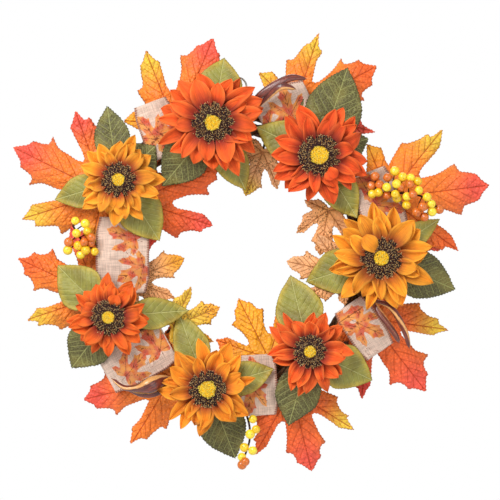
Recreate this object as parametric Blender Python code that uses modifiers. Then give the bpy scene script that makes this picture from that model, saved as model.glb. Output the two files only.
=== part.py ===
"""Harvest door wreath: a vine ring dressed with sunflowers, leaves, ribbon, pods and berries.

The wreath hangs upright on +Z and faces -Y.  The origin is the top of the hanger's eye, where the
door hook bears.  Places are given round the ring: a bearing in degrees (0 at +X, 90 at the top), an
offset outwards from the ring's centreline and a depth forward of the ring's middle plane.
Lengths are in millimetres and are scaled to metres where the meshes are made.
"""
import math

import bmesh
import bpy
from mathutils import Matrix, Vector

MM = 0.001

# Driving dimensions of the vine ring.
RING_RADIUS = 155.0
STRAND_RADIUS = 7.0
STRAND_CLEARANCE = 2.1
STRAND_OFFSET = math.sqrt(2.0) * STRAND_RADIUS + STRAND_CLEARANCE
STRAND_COUNT = 4
STRAND_TURNS = 5
STRAND_POINTS = 48
STRAND_END_GAP_DEG = 1.2
BUNDLE_RADIUS = STRAND_OFFSET + STRAND_RADIUS

# Clearances between touching pieces.
TOUCH_GAP = 0.3
COLLAR_GAP = 0.8

# Wire hanger and vine bindings.
WIRE_RADIUS = 1.1
EYE_RADIUS = 11.0
EYE_NECK = 9.0
BINDING_WIRE = 1.3
NECK_RADIUS = 1.65
COLLAR_RADIUS = BUNDLE_RADIUS + COLLAR_GAP + WIRE_RADIUS
EYE_CENTRE = COLLAR_RADIUS + EYE_NECK + EYE_RADIUS
HOOK_HEIGHT = RING_RADIUS + EYE_CENTRE + EYE_RADIUS - WIRE_RADIUS

# Layers of foliage: all blades follow one roof-shaped surface, a whole number of steps apart.
FIRST_LAYER = BUNDLE_RADIUS + 5.0
LAYER_STEP = 4.0
ROOF_SLOPE = 0.2
BLADE_THICKNESS = 1.3
LEAF_ROOT_SHARE = 0.06
OVAL_NECK_SHARE = 0.18
SPRIG_SINK = 0.25
STALK_RADIUS = 1.3
STALK_SINK = 0.5
STALK_REACH = 12.0

# Sunflowers, which stand in front of the top layer of green leaves.
TOP_LAYER = 5
PETAL_THICKNESS = 4.0
PETAL_COUNT = 14
PETAL_DROOP = 5.0
STEM_RADIUS = 2.6
CALYX_RADIUS = 12.0
CALYX_FOOT_RADIUS = 4.16
CALYX_LENGTH = 5.0
CALYX_SINK = 1.0
CALYX_GAP = 1.0
HEAD_HEIGHT = 8.0
HUB_RADIUS = 6.5
HUB_THICKNESS = 3.0
CALYX_BACK = CALYX_LENGTH + 1.5 * PETAL_DROOP - CALYX_SINK
FLOWER_DEPTH = FIRST_LAYER + TOP_LAYER * LAYER_STEP + HUB_THICKNESS / 2.0 + CALYX_GAP + CALYX_BACK

# Ribbon.
RIBBON_THICKNESS = 1.2

# Maple leaf outline as (angle from the midrib, distance from the base) for a leaf of length 1.
MAPLE_SIDE = (
    (150.0, 0.06), (112.0, 0.40), (97.0, 0.58), (88.0, 0.44), (76.0, 0.36), (65.0, 0.58),
    (56.0, 0.62), (42.0, 0.83), (35.0, 0.64), (27.0, 0.44), (21.0, 0.76), (12.0, 0.78),
)
# Oval leaf outline as (share of the blade's length, share of its half width).
OVAL_SIDE = ((0.0, 0.08), (0.12, 0.55), (0.28, 0.92), (0.45, 1.0), (0.64, 0.82), (0.82, 0.45))

# Maple leaves: name, bearing, offset, turn from the bearing, length, layer.
MAPLE_LEAVES = (
    ("maple_left_upper", 154.5, 13.0, -1.0, 126.0, 0),
    ("maple_top_left", 115.5, 3.0, -47.0, 119.0, 0),
    ("maple_top_right", 69.0, 25.0, -40.0, 115.0, 0),
    ("maple_right_upper", 21.4, 31.0, -14.0, 125.0, 2),
    ("maple_right_side", 11.8, 22.0, -33.0, 83.0, 1),
    ("maple_right_lower", 334.0, 18.0, -26.0, 115.0, 0),
    ("maple_bottom", 292.5, 17.0, -8.0, 102.0, 1),
    ("maple_left_lower", 243.7, 10.0, -49.0, 112.0, 0),
    ("maple_left_side", 196.9, 12.0, -42.0, 108.0, 1),
    ("maple_inner_bottom", 286.0, -24.0, -169.0, 82.0, 0),
    ("maple_inner_upper_left", 152.3, -20.0, -127.0, 113.0, 2),
    ("maple_inner_left", 192.9, -24.0, -172.0, 71.0, 0),
    ("maple_inner_lower_left", 227.9, -42.0, 154.0, 61.0, 2),
    ("maple_inner_right", 26.1, -38.0, -126.0, 56.0, 1),
    ("maple_inner_lower_right", 350.0, -27.0, 178.0, 70.0, 2),
    ("maple_inner_top", 76.4, -31.0, 172.0, 58.0, 1),
)

# Sunflowers: name, bearing, offset, petal reach, seed head radius, layer of the green leaves, and the
# green leaves as (turn from the bearing, reach, width).
SUNFLOWERS = (
    ("upper_left", 148.2, 5.0, 51.0, 21.0, TOP_LAYER,
     ((-48.0, 89.0, 43.0), (-104.0, 58.0, 46.0), (48.0, 80.0, 40.0), (155.0, 84.0, 52.0))),
    ("top", 100.6, -3.0, 62.0, 25.0, 4,
     ((130.0, 93.0, 53.0), (-20.0, 80.0, 56.0), (-164.0, 85.0, 42.0))),
    ("upper_right", 49.8, -8.0, 59.0, 25.0, TOP_LAYER,
     ((22.0, 110.0, 66.0), (51.0, 74.0, 40.0), (-30.0, 62.0, 41.0), (-108.0, 85.0, 42.0),
      (105.0, 80.0, 46.0))),
    ("right", 358.0, 11.0, 61.0, 25.0, 4,
     ((-160.0, 90.0, 53.0), (-20.5, 97.0, 56.0), (34.6, 85.0, 30.0))),
    ("lower_right", 306.6, -14.0, 50.0, 20.0, TOP_LAYER,
     ((157.3, 90.0, 56.0), (28.0, 82.0, 54.0), (-52.0, 91.0, 54.0))),
    ("bottom", 257.8, 5.0, 56.0, 22.5, 4,
     ((-146.0, 94.0, 42.0), (118.0, 80.0, 40.0), (33.0, 90.0, 56.0))),
    ("lower_left", 206.6, 10.0, 49.0, 21.0, TOP_LAYER,
     ((-70.6, 86.0, 53.0), (26.4, 76.0, 53.0), (157.7, 92.0, 38.0))),
)

# Ribbon loops: name, bearing, offset, turn from the bearing, length, width, layer, and the rise of the
# arch in layers.
RIBBONS = (
    ("ribbon_upper_left", 122.0, 15.0, 168.0, 62.0, 44.0, 3, 0.375),
    ("ribbon_left", 181.0, -22.0, -91.0, 84.0, 60.0, 3, 1.25),
    ("ribbon_lower_left", 226.7, 14.0, 162.0, 78.0, 52.0, 3, 1.25),
    ("ribbon_bottom", 279.0, 1.0, -186.0, 66.0, 44.0, 2, 0.75),
    ("ribbon_lower_right", 329.4, 17.0, -25.0, 62.0, 42.0, 3, 1.25),
    ("ribbon_upper_right", 19.3, 20.0, -88.0, 72.0, 50.0, 3, 0.75),
    ("ribbon_top", 71.5, 22.0, -46.0, 60.0, 50.0, 3, 0.75),
)

# Bindings: name, bearing.
BINDINGS = (("vine_binding_left", 170.0), ("vine_binding_right", 40.0), ("vine_binding_bottom", 266.0))

# Seed pods: name and tubes through (bearing, offset, rise, radius) corners, the first from the
# vines.  A rise is forward of the front of the bundle, in layers.
PODS = (
    ("pods_top", (
        ((83.0, 9.0, 0.0, 2.0), (83.0, 9.0, 5.25, 2.0), (83.0, 24.0, 7.5, 3.6),
         (78.6, 39.0, 8.75, 5.0), (73.0, 56.0, 8.75, 4.4), (68.0, 62.0, 7.75, 2.0)),
        ((83.0, 14.0, 6.25, 2.0), (79.0, 28.0, 8.25, 3.0), (75.0, 43.0, 10.75, 4.0),
         (70.0, 46.0, 9.75, 1.8)),
    )),
    ("pods_lower_left", (
        ((248.0, 8.0, 0.125, 2.2), (248.0, 8.0, 4.25, 2.2), (240.5, 14.0, 6.75, 5.5),
         (236.5, 27.0, 9.25, 9.5), (234.0, 37.0, 9.25, 5.0), (230.0, 48.0, 8.5, 3.0),
         (225.0, 50.0, 7.75, 1.8)),
        ((243.0, 14.0, 6.25, 2.2), (240.5, 31.0, 6.75, 3.2), (236.5, 41.0, 7.0, 3.6),
         (231.0, 48.0, 6.25, 1.8)),
    )),
    ("pods_lower_right", (
        ((341.2, 12.0, -0.25, 2.0), (341.2, 12.0, 5.75, 2.0), (337.0, 25.0, 7.625, 4.0),
         (332.9, 50.0, 8.75, 3.8), (331.0, 60.0, 7.75, 1.8)),
        ((340.9, 14.0, 6.5, 2.0), (340.5, 34.0, 6.75, 3.2), (335.5, 58.0, 6.75, 3.6),
         (331.0, 74.0, 5.75, 1.8)),
    )),
)

# Berries: a stem through (bearing, offset, rise, radius) corners from the vines, berries as
# (bearing, offset, depth forward of the spray's middle), and the rise of that middle.
BERRY_RADIUS = 5.2
TWIG_RADIUS = 0.9
BERRY_SPRAYS = (
    ("berry_spray_right", (
        (24.5, 12.0, -0.375, 1.4), (24.5, 12.0, 6.0, 1.4), (24.2, 14.0, 6.75, 1.4),
        (18.5, 60.0, 7.75, 1.3), (14.0, 82.0, 7.25, 1.2)),
     ((26.6, 19.0, 2.0), (23.6, 16.0, 3.0), (23.2, 23.0, 6.0), (25.6, 28.0, 5.0), (26.6, 40.0, 4.0),
      (23.7, 34.0, 9.0), (23.4, 46.0, 10.0), (24.6, 56.0, 5.0), (21.9, 49.0, 8.0), (18.9, 41.0, 3.0),
      (18.4, 52.0, 7.0), (15.8, 49.0, 3.0), (23.4, 64.0, 7.0), (21.6, 70.0, 6.0), (19.0, 67.0, 10.0),
      (16.4, 74.0, 8.0), (14.2, 77.0, 6.0), (12.0, 76.0, 2.0), (10.9, 66.0, 1.0), (29.0, 28.0, 1.0),
      (21.0, 31.0, 2.0), (20.4, 40.0, 11.0), (27.4, 51.0, 2.0), (21.6, 60.0, 11.0), (18.4, 59.0, 12.0),
      (14.0, 66.0, 9.0), (12.1, 85.0, 1.0), (12.8, 58.0, 5.0)),
     6.75),
    ("berry_spray_left", (
        (178.5, 13.0, -0.5, 1.4), (178.5, 13.0, 4.25, 1.4), (178.0, 14.0, 5.25, 1.4),
        (175.0, 26.0, 6.25, 1.3),
        (170.5, 38.0, 6.25, 1.2)),
     ((168.7, 36.0, 1.0), (169.0, 24.0, 2.0), (171.7, 20.0, 5.0), (173.0, 32.0, 5.0), (177.3, 29.0, 5.0),
      (176.1, 15.0, 3.0), (179.0, 41.0, 2.0), (178.9, 20.0, 6.0), (180.6, 26.0, 2.0), (179.4, 10.0, 1.0),
      (173.9, 14.0, 8.0), (176.3, 40.0, 4.0), (175.9, 22.0, 9.0)),
     6.25),
    ("berry_spray_bottom", (
        (269.2, 10.0, -0.25, 1.4), (269.2, 10.0, 4.25, 1.4), (273.5, 34.0, 6.75, 1.3),
        (274.0, 60.0, 7.25, 1.2), (271.5, 88.0, 6.75, 1.1)),
     ((275.5, 38.0, 2.0), (276.2, 50.0, 4.0), (274.2, 55.0, 3.0), (272.2, 70.0, 2.0), (274.6, 74.0, 5.0),
      (271.4, 81.0, 2.0), (272.3, 86.0, 7.0), (271.4, 90.0, 3.0)),
     7.25),
)

# Blades that another piece's stem pokes through: the blade and the owner of the stem.
PIERCED = (
    ("maple_inner_upper_left", "sunflower_upper_left_petals"),
    ("maple_left_upper", "sunflower_upper_left_petals"),
    ("maple_top_left", "sunflower_top_petals"),
    ("maple_left_lower", "maple_inner_lower_left"),
    ("maple_right_side", "maple_right_upper"),
    ("maple_left_lower", "ribbon_lower_left"),
    ("maple_inner_upper_left", "ribbon_upper_left"),
    ("maple_top_left", "ribbon_upper_left"),
    ("maple_inner_left", "ribbon_left"),
    ("maple_left_side", "ribbon_left"),
    ("maple_right_lower", "ribbon_lower_right"),
    ("maple_left_side", "berry_spray_left"),
    ("ribbon_upper_right", "berry_spray_right"),
    ("maple_bottom", "ribbon_bottom"),
)


def roof_depth(x, z, layer):
    """Depth of a blade's back at a place in the ring's plane."""
    away = abs(math.hypot(x, z) - RING_RADIUS)
    return FIRST_LAYER + layer * LAYER_STEP - ROOF_SLOPE * away


def ring_plane(bearing, offset):
    """Plane coordinates of a bearing and an offset from the ring's centreline."""
    angle = math.radians(bearing)
    reach = RING_RADIUS + offset
    return reach * math.cos(angle), reach * math.sin(angle)


def place(x, z, depth):
    """World position, in metres, of a plane point and its depth forward of the ring."""
    return Vector((x, -depth, z - HOOK_HEIGHT)) * MM


def rise_depth(layers):
    """Depth of a height above the front of the bundle, given in layers."""
    return BUNDLE_RADIUS + layers * LAYER_STEP


def bundle_front(offset):
    """Depth at which a stem meets the vines, at an offset from the ring's centreline."""
    inside = max(BUNDLE_RADIUS ** 2 - offset ** 2, 0.0)
    return math.sqrt(inside) + TOUCH_GAP


def new_material(name, colour, roughness, metallic=0.0):
    """A plain Principled material."""
    material = bpy.data.materials.new(name)
    material.use_nodes = True
    shader = material.node_tree.nodes["Principled BSDF"]
    shader.inputs["Base Color"].default_value = (*colour, 1.0)
    shader.inputs["Roughness"].default_value = roughness
    shader.inputs["Metallic"].default_value = metallic
    return material


def add_object(name, data, collection):
    """Link new object data under a name."""
    obj = bpy.data.objects.new(name, data)
    collection.objects.link(obj)
    return obj


def add_helper(name, data, collection):
    """Link a hidden shape that only a Boolean uses."""
    helper = add_object(name, data, collection)
    helper.hide_render = True
    helper.display_type = "WIRE"
    return helper


def mesh_from(bm, name):
    """Close a bmesh into mesh data with outward faces."""
    bmesh.ops.recalc_face_normals(bm, faces=bm.faces)
    mesh = bpy.data.meshes.new(name)
    bm.to_mesh(mesh)
    bm.free()
    return mesh


def union(obj, helper):
    """Join a helper's shape to an object."""
    modifier = obj.modifiers.new("join_" + helper.name, "BOOLEAN")
    modifier.operation = "UNION"
    modifier.object = helper
    return modifier


def add_rod(bm, start, end, radius, sides=6):
    """A straight rod between two points, added to a bmesh."""
    direction = end - start
    middle = (start + end) / 2.0
    turn = direction.to_track_quat("Z", "Y").to_matrix().to_4x4()
    bmesh.ops.create_cone(
        bm, cap_ends=True, segments=sides, radius1=radius * MM, radius2=radius * MM,
        depth=direction.length, matrix=Matrix.Translation(middle) @ turn)


def rod_helper(name, start, end, helpers, radius, sides=6):
    """A hidden rod between two points."""
    bm = bmesh.new()
    add_rod(bm, start, end, radius, sides)
    return add_helper(name, mesh_from(bm, name), helpers)


def add_stalk(obj, x, z, bearing, offset, depth, helpers, stems):
    """Join a blade to a stalk that runs from the vines up into the blade's back."""
    foot_offset = max(-STALK_REACH, min(STALK_REACH, offset))
    foot = place(*ring_plane(bearing, foot_offset), bundle_front(foot_offset))
    top = place(x, z, depth + STALK_SINK)
    stems[obj.name] = (foot, top, STALK_RADIUS)
    union(obj, rod_helper(obj.name + "_stalk", foot, top, helpers, STALK_RADIUS))


def pierce(blade, owner, stems, helpers):
    """Cut a clearance hole in a blade for another piece's stem."""
    start, end, radius = stems[owner]
    name = f"{blade}_hole_for_{owner}"
    cutter = rod_helper(name, start, end, helpers, radius + TOUCH_GAP, 10)
    cut = bpy.data.objects[blade].modifiers.new("hole_for_" + owner, "BOOLEAN")
    cut.operation = "DIFFERENCE"
    cut.object = cutter


def plate_mesh(name, outline, cuts, to_place, thickness):
    """A thin closed plate: an outline cut across its length, bent by to_place and thickened."""
    bm = bmesh.new()
    bm.faces.new([bm.verts.new((u, v, 0.0)) for u, v in outline])
    for cut in cuts:
        geometry = bm.verts[:] + bm.edges[:] + bm.faces[:]
        bmesh.ops.bisect_plane(bm, geom=geometry, plane_co=(cut, 0.0, 0.0), plane_no=(1.0, 0.0, 0.0))
    bmesh.ops.triangulate(bm, faces=bm.faces[:])
    front = bmesh.ops.extrude_face_region(bm, geom=bm.faces[:])
    raised = {item for item in front["geom"] if isinstance(item, bmesh.types.BMVert)}
    for vert in bm.verts:
        lift = thickness if vert in raised else 0.0
        vert.co = to_place(vert.co.x, vert.co.y, lift)
    return mesh_from(bm, name)


def maple_outline(length):
    """Points round a maple leaf, from its base along +u."""
    side = [(math.radians(angle), length * share) for angle, share in MAPLE_SIDE]
    left = [(reach * math.cos(angle), reach * math.sin(angle)) for angle, reach in side]
    right = [(u, -v) for u, v in reversed(left)]
    return left + [(length, 0.0)] + right


def oval_outline(start, reach, width):
    """Points round an oval leaf whose narrow stalk begins at start."""
    blade = start + OVAL_NECK_SHARE * (reach - start)
    left = [(start, STALK_RADIUS)]
    left += [(blade + t * (reach - blade), share * width / 2.0) for t, share in OVAL_SIDE]
    right = [(u, -v) for u, v in reversed(left)]
    return left + [(reach, 0.0)] + right


def blade_placer(x, z, heading, layer):
    """The bend that lays a blade on its roof-shaped layer."""
    angle = math.radians(heading)
    along = (math.cos(angle), math.sin(angle))

    def to_place(u, v, lift):
        px = x + u * along[0] - v * along[1]
        pz = z + u * along[1] + v * along[0]
        return place(px, pz, roof_depth(px, pz, layer) + lift)

    return to_place


def build_strand(index, collection, material):
    """One vine of the ring, twisted round the ring's centreline."""
    data = bpy.data.curves.new(f"vine_strand_{index + 1}", "CURVE")
    data.dimensions = "3D"
    data.bevel_depth = STRAND_RADIUS * MM
    data.bevel_resolution = 1
    data.use_fill_caps = True
    spline = data.splines.new("POLY")
    spline.points.add(STRAND_POINTS - 1)
    first = 90.0 * index + STRAND_END_GAP_DEG
    sweep = 360.0 - 2.0 * STRAND_END_GAP_DEG
    for step, point in enumerate(spline.points):
        bearing = first + sweep * step / (STRAND_POINTS - 1)
        phase = math.radians(bearing * STRAND_TURNS + 360.0 * index / STRAND_COUNT)
        x, z = ring_plane(bearing, STRAND_OFFSET * math.cos(phase))
        point.co = (*place(x, z, STRAND_OFFSET * math.sin(phase)), 1.0)
    data.materials.append(material)
    add_object(data.name, data, collection)


def torus(name, centre, rotation, major, minor, collection, major_steps=20):
    """A torus object about its own Z axis."""
    bpy.ops.mesh.primitive_torus_add(
        major_segments=major_steps, minor_segments=6, major_radius=major * MM,
        minor_radius=minor * MM, location=centre, rotation=rotation)
    obj = bpy.context.object
    obj.name = name
    for owner in obj.users_collection:
        owner.objects.unlink(obj)
    collection.objects.link(obj)
    return obj


def hide_helper(obj):
    """Mark an object as a shape that only a Boolean uses."""
    obj.hide_render = True
    obj.display_type = "WIRE"
    return obj


def build_binding(name, bearing, collection, material):
    """A thin vine wrapped once round the bundle."""
    x, z = ring_plane(bearing, 0.0)
    turn = (0.0, -math.radians(bearing), 0.0)
    centre_radius = BUNDLE_RADIUS + TOUCH_GAP + BINDING_WIRE
    obj = torus(name, place(x, z, 0.0), turn, centre_radius, BINDING_WIRE, collection)
    obj.data.materials.append(material)


def build_hanger(collection, helpers, material):
    """A wire collar round the top of the bundle with an eye standing on it."""
    top = place(0.0, RING_RADIUS, 0.0)
    eye_centre = place(0.0, RING_RADIUS + EYE_CENTRE, 0.0)
    collar = torus("wire_hanger", top, (0.0, math.pi / 2.0, 0.0), COLLAR_RADIUS, WIRE_RADIUS, collection)
    eye = torus("hanger_eye", eye_centre, (math.pi / 2.0, 0.0, 0.0), EYE_RADIUS, WIRE_RADIUS, helpers)
    neck_start = place(0.0, RING_RADIUS + COLLAR_RADIUS - STALK_SINK, 0.0)
    neck_end = place(0.0, RING_RADIUS + COLLAR_RADIUS + EYE_NECK + STALK_SINK, 0.0)
    bm = bmesh.new()
    add_rod(bm, neck_start, neck_end, NECK_RADIUS)
    neck = add_helper("hanger_neck", mesh_from(bm, "hanger_neck"), helpers)
    union(collar, neck)
    union(collar, hide_helper(eye))
    collar.data.materials.append(material)


def build_maple_leaf(leaf, collection, helpers, stems, material):
    """One maple leaf on a stalk that leaves the vines under its base."""
    name, bearing, offset, turn, length, layer = leaf
    x, z = ring_plane(bearing, offset)
    heading = bearing + turn
    to_place = blade_placer(x, z, heading, layer)
    cuts = (0.2 * length, 0.45 * length)
    mesh = plate_mesh(name, maple_outline(length), cuts, to_place, BLADE_THICKNESS)
    mesh.materials.append(material)
    obj = add_object(name, mesh, collection)
    inset = LEAF_ROOT_SHARE * length
    root_x = x + inset * math.cos(math.radians(heading))
    root_z = z + inset * math.sin(math.radians(heading))
    depth = roof_depth(root_x, root_z, layer)
    add_stalk(obj, root_x, root_z, bearing, offset, depth, helpers, stems)


def build_leaf_sprig(flower, collection, helpers, material):
    """The green leaves of one sunflower, joined at a hub that slides on its stem."""
    name, bearing, offset, _, _, layer, leaves = flower
    x, z = ring_plane(bearing, offset)
    depth = roof_depth(x, z, layer)
    node = "leaf_sprig_" + name
    bm = bmesh.new()
    add_rod(bm, place(x, z, depth - HUB_THICKNESS / 2.0), place(x, z, depth + HUB_THICKNESS / 2.0),
            HUB_RADIUS, 14)
    mesh = mesh_from(bm, node)
    mesh.materials.append(material)
    hub = add_object(node, mesh, collection)
    start = (HUB_RADIUS + STEM_RADIUS) / 2.0
    for number, (turn, reach, width) in enumerate(leaves):
        to_place = blade_placer(x, z, bearing + turn, layer - SPRIG_SINK)
        outline = oval_outline(start, reach, width)
        cuts = (0.4 * reach, 0.65 * reach)
        blade_name = f"{node}_blade_{number + 1}"
        blade = plate_mesh(blade_name, outline, cuts, to_place, BLADE_THICKNESS)
        union(hub, add_helper(blade_name, blade, helpers))
    bore = rod_helper(node + "_bore", place(x, z, depth - 2.0 * HUB_THICKNESS),
                      place(x, z, depth + 2.0 * HUB_THICKNESS), helpers, STEM_RADIUS + TOUCH_GAP, 12)
    cut = hub.modifiers.new("bore", "BOOLEAN")
    cut.operation = "DIFFERENCE"
    cut.object = bore


def petal_outline(reach):
    """Points round a whorl of pointed petals."""
    points = []
    for petal in range(PETAL_COUNT):
        for share, radius_share in ((-0.5, 0.62), (-0.3, 0.82), (0.0, 1.0), (0.3, 0.82)):
            angle = 2.0 * math.pi * (petal + share) / PETAL_COUNT
            points.append((reach * radius_share * math.cos(angle), reach * radius_share * math.sin(angle)))
    return points


def build_sunflower(flower, collection, helpers, stems, petal_material, head_material):
    """A whorl of petals on a calyx and stem, with its seed head in front."""
    name, bearing, offset, reach, head_radius, _, _ = flower
    x, z = ring_plane(bearing, offset)

    def to_place(u, v, lift):
        droop = PETAL_DROOP * (math.hypot(u, v) / reach) ** 2
        return place(x + u, z + v, FLOWER_DEPTH - droop + lift)

    petals_name = f"sunflower_{name}_petals"
    mesh = plate_mesh(petals_name, petal_outline(reach), (), to_place, PETAL_THICKNESS)
    mesh.materials.append(petal_material)
    petals = add_object(petals_name, mesh, collection)
    foot = place(x, z, bundle_front(offset))
    top = place(x, z, FLOWER_DEPTH)
    stems[petals_name] = (foot, top, STEM_RADIUS)
    union(petals, rod_helper(petals_name + "_stem", foot, top, helpers, STEM_RADIUS, 12))
    build_calyx(petals, x, z, helpers)
    build_seed_head(f"sunflower_{name}_seed_head", x, z, head_radius, collection, head_material)


def build_calyx(petals, x, z, helpers):
    """The green cup behind the petals, joined to them."""
    bm = bmesh.new()
    middle = place(x, z, FLOWER_DEPTH - PETAL_DROOP - CALYX_LENGTH / 2.0 + CALYX_SINK)
    turn = Matrix.Rotation(math.pi / 2.0, 4, "X")
    bmesh.ops.create_cone(
        bm, cap_ends=True, segments=14, radius1=CALYX_FOOT_RADIUS * MM, radius2=CALYX_RADIUS * MM,
        depth=(CALYX_LENGTH + PETAL_DROOP) * MM, matrix=Matrix.Translation(middle) @ turn)
    calyx = add_helper(petals.name + "_calyx", mesh_from(bm, petals.name + "_calyx"), helpers)
    union(petals, calyx)


def build_seed_head(name, x, z, radius, collection, material):
    """A domed seed head, turned from its profile."""
    base = FLOWER_DEPTH + PETAL_THICKNESS + TOUCH_GAP
    profile = ((0.0, 1.0), (0.45, 0.92), (0.85, 0.7), (1.0, 0.3), (0.94, 0.0), (0.0, 0.0))
    bm = bmesh.new()
    points = [bm.verts.new((share * radius * MM, 0.0, rise * HEAD_HEIGHT * MM)) for share, rise in profile]
    for first, second in zip(points, points[1:]):
        bm.edges.new((first, second))
    mesh = bpy.data.meshes.new(name)
    bm.to_mesh(mesh)
    bm.free()
    mesh.materials.append(material)
    head = add_object(name, mesh, collection)
    head.location = place(x, z, base)
    head.rotation_euler = (math.pi / 2.0, 0.0, 0.0)
    turned = head.modifiers.new("turned", "SCREW")
    turned.steps = 18
    turned.render_steps = 18
    turned.use_merge_vertices = True
    turned.merge_threshold = 0.00001


def build_ribbon(ribbon, collection, helpers, stems, material):
    """An arched ribbon loop on the wire that ties it to the vines."""
    name, bearing, offset, turn, length, width, layer, rise_layers = ribbon
    arch = rise_layers * LAYER_STEP
    x, z = ring_plane(bearing, offset)
    bend = blade_placer(x, z, bearing + turn, layer)

    def to_place(u, v, lift):
        rise = arch * math.cos(math.pi * u / length) ** 2
        return bend(u, v, lift) + place(0.0, 0.0, rise) - place(0.0, 0.0, 0.0)

    side = ((-0.5, 0.42), (-0.3, 0.5), (0.3, 0.5), (0.5, 0.42))
    outline = [(share * length, half * width) for share, half in side]
    outline += [(u, -v) for u, v in reversed(outline)]
    cuts = [length * share for share in (-0.4, -0.2, -0.1, 0.0, 0.1, 0.2, 0.4)]
    mesh = plate_mesh(name, outline, cuts, to_place, RIBBON_THICKNESS)
    mesh.materials.append(material)
    obj = add_object(name, mesh, collection)
    add_stalk(obj, x, z, bearing, offset, roof_depth(x, z, layer) + arch, helpers, stems)


def tube_mesh(name, points, radii, resolution=2):
    """Closed mesh of a bent tube through hand-set points, with a radius at each."""
    data = bpy.data.curves.new(name, "CURVE")
    data.dimensions = "3D"
    data.bevel_depth = MM
    data.bevel_resolution = resolution
    data.use_fill_caps = True
    spline = data.splines.new("POLY")
    spline.points.add(len(points) - 1)
    for point, co, radius in zip(spline.points, points, radii):
        point.co = (*co, 1.0)
        point.radius = radius
    curve = bpy.data.objects.new(name, data)
    bpy.context.scene.collection.objects.link(curve)
    graph = bpy.context.evaluated_depsgraph_get()
    mesh = bpy.data.meshes.new_from_object(curve.evaluated_get(graph))
    bpy.data.objects.remove(curve)
    bm = bmesh.new()
    bm.from_mesh(mesh)
    bmesh.ops.remove_doubles(bm, verts=bm.verts, dist=0.000001)
    bm.to_mesh(mesh)
    bm.free()
    mesh.name = name
    return mesh


def smooth_path(corners, steps):
    """Points on a Catmull-Rom curve through hand-set corners of any number of values."""
    ends = [corners[0], *corners, corners[-1]]
    path = []
    for a, b, c, d in zip(ends, ends[1:], ends[2:], ends[3:]):
        for step in range(steps):
            t = step / steps
            weights = (-t + 2 * t ** 2 - t ** 3, 2 - 5 * t ** 2 + 3 * t ** 3,
                       t + 4 * t ** 2 - 3 * t ** 3, t ** 3 - t ** 2)
            path.append([sum(w * p[i] for w, p in zip(weights, (a, b, c, d))) / 2.0
                         for i in range(len(a))])
    path.append(list(corners[-1]))
    return path


def route(corners, steps):
    """World points and radii of a tube given as (bearing, offset, rise, radius)."""
    path = smooth_path(corners, steps)
    points = [place(*ring_plane(bearing, offset), rise_depth(rise)) for bearing, offset, rise, _ in path]
    return points, [radius for _, _, _, radius in path]


def build_pod(name, routes, collection, helpers, material):
    """Seed pods that share one stem."""
    points, radii = route(routes[0], 4)
    mesh = tube_mesh(name, points, radii)
    mesh.materials.append(material)
    pod = add_object(name, mesh, collection)
    for number, corners in enumerate(routes[1:]):
        points, radii = route(corners, 4)
        branch_name = f"{name}_branch_{number + 1}"
        union(pod, add_helper(branch_name, tube_mesh(branch_name, points, radii), helpers))


def build_berry_spray(spray, collection, helpers, stems, material):
    """Round berries on twigs that leave one stem."""
    name, stem, berries, lift = spray
    points, radii = route(stem, 3)
    foot, bend = [place(*ring_plane(bearing, offset), rise_depth(rise))
                  for bearing, offset, rise, _ in stem[:2]]
    stems[name] = (foot, bend, stem[0][3])
    mesh = tube_mesh(name, points, radii, 1)
    mesh.materials.append(material)
    obj = add_object(name, mesh, collection)
    for number, (bearing, offset, forward) in enumerate(berries):
        x, z = ring_plane(bearing, offset)
        centre = place(x, z, rise_depth(lift) + forward)
        nearest = min(points[3:], key=lambda point: (point - centre).length)
        helper_name = f"{name}_berry_{number + 1}"
        bm = bmesh.new()
        bmesh.ops.create_icosphere(
            bm, subdivisions=1, radius=BERRY_RADIUS * MM, matrix=Matrix.Translation(centre))
        union(obj, add_helper(helper_name, mesh_from(bm, helper_name), helpers))
        twig_name = helper_name + "_twig"
        bm = bmesh.new()
        add_rod(bm, nearest, centre, TWIG_RADIUS, 4)
        union(obj, add_helper(twig_name, mesh_from(bm, twig_name), helpers))


def main():
    """Build every piece of the wreath."""
    for obj in list(bpy.data.objects):
        bpy.data.objects.remove(obj)
    wreath = bpy.data.collections.new("harvest_door_wreath")
    helpers = bpy.data.collections.new("helpers")
    bpy.context.scene.collection.children.link(wreath)
    bpy.context.scene.collection.children.link(helpers)
    stems = {}
    build_ring(wreath, helpers)
    for leaf in MAPLE_LEAVES:
        build_maple_leaf(leaf, wreath, helpers, stems, new_material(leaf[0], (0.85, 0.28, 0.05), 0.6))
    for flower in SUNFLOWERS:
        name = flower[0]
        build_leaf_sprig(flower, wreath, helpers, new_material("sprig_" + name, (0.16, 0.22, 0.06), 0.6))
        petal_material = new_material("petals_" + name, (0.8, 0.3, 0.03), 0.7)
        head_material = new_material("seed_head_" + name, (0.08, 0.04, 0.03), 0.8)
        build_sunflower(flower, wreath, helpers, stems, petal_material, head_material)
    for ribbon in RIBBONS:
        build_ribbon(ribbon, wreath, helpers, stems, new_material(ribbon[0], (0.72, 0.52, 0.4), 0.85))
    for name, routes in PODS:
        build_pod(name, routes, wreath, helpers, new_material(name, (0.22, 0.07, 0.05), 0.35))
    for spray in BERRY_SPRAYS:
        build_berry_spray(spray, wreath, helpers, stems, new_material(spray[0], (0.85, 0.6, 0.08), 0.3))
    for blade, owner in PIERCED:
        pierce(blade, owner, stems, helpers)


def build_ring(wreath, helpers):
    """The vine ring, its bindings and the hanger."""
    for index in range(STRAND_COUNT):
        build_strand(index, wreath, new_material(f"vine_{index + 1}", (0.25, 0.15, 0.08), 0.8))
    for name, bearing in BINDINGS:
        build_binding(name, bearing, wreath, new_material(name, (0.2, 0.11, 0.05), 0.8))
    build_hanger(wreath, helpers, new_material("wire_hanger", (0.35, 0.3, 0.25), 0.4, 1.0))


main()
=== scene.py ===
import math

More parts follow.
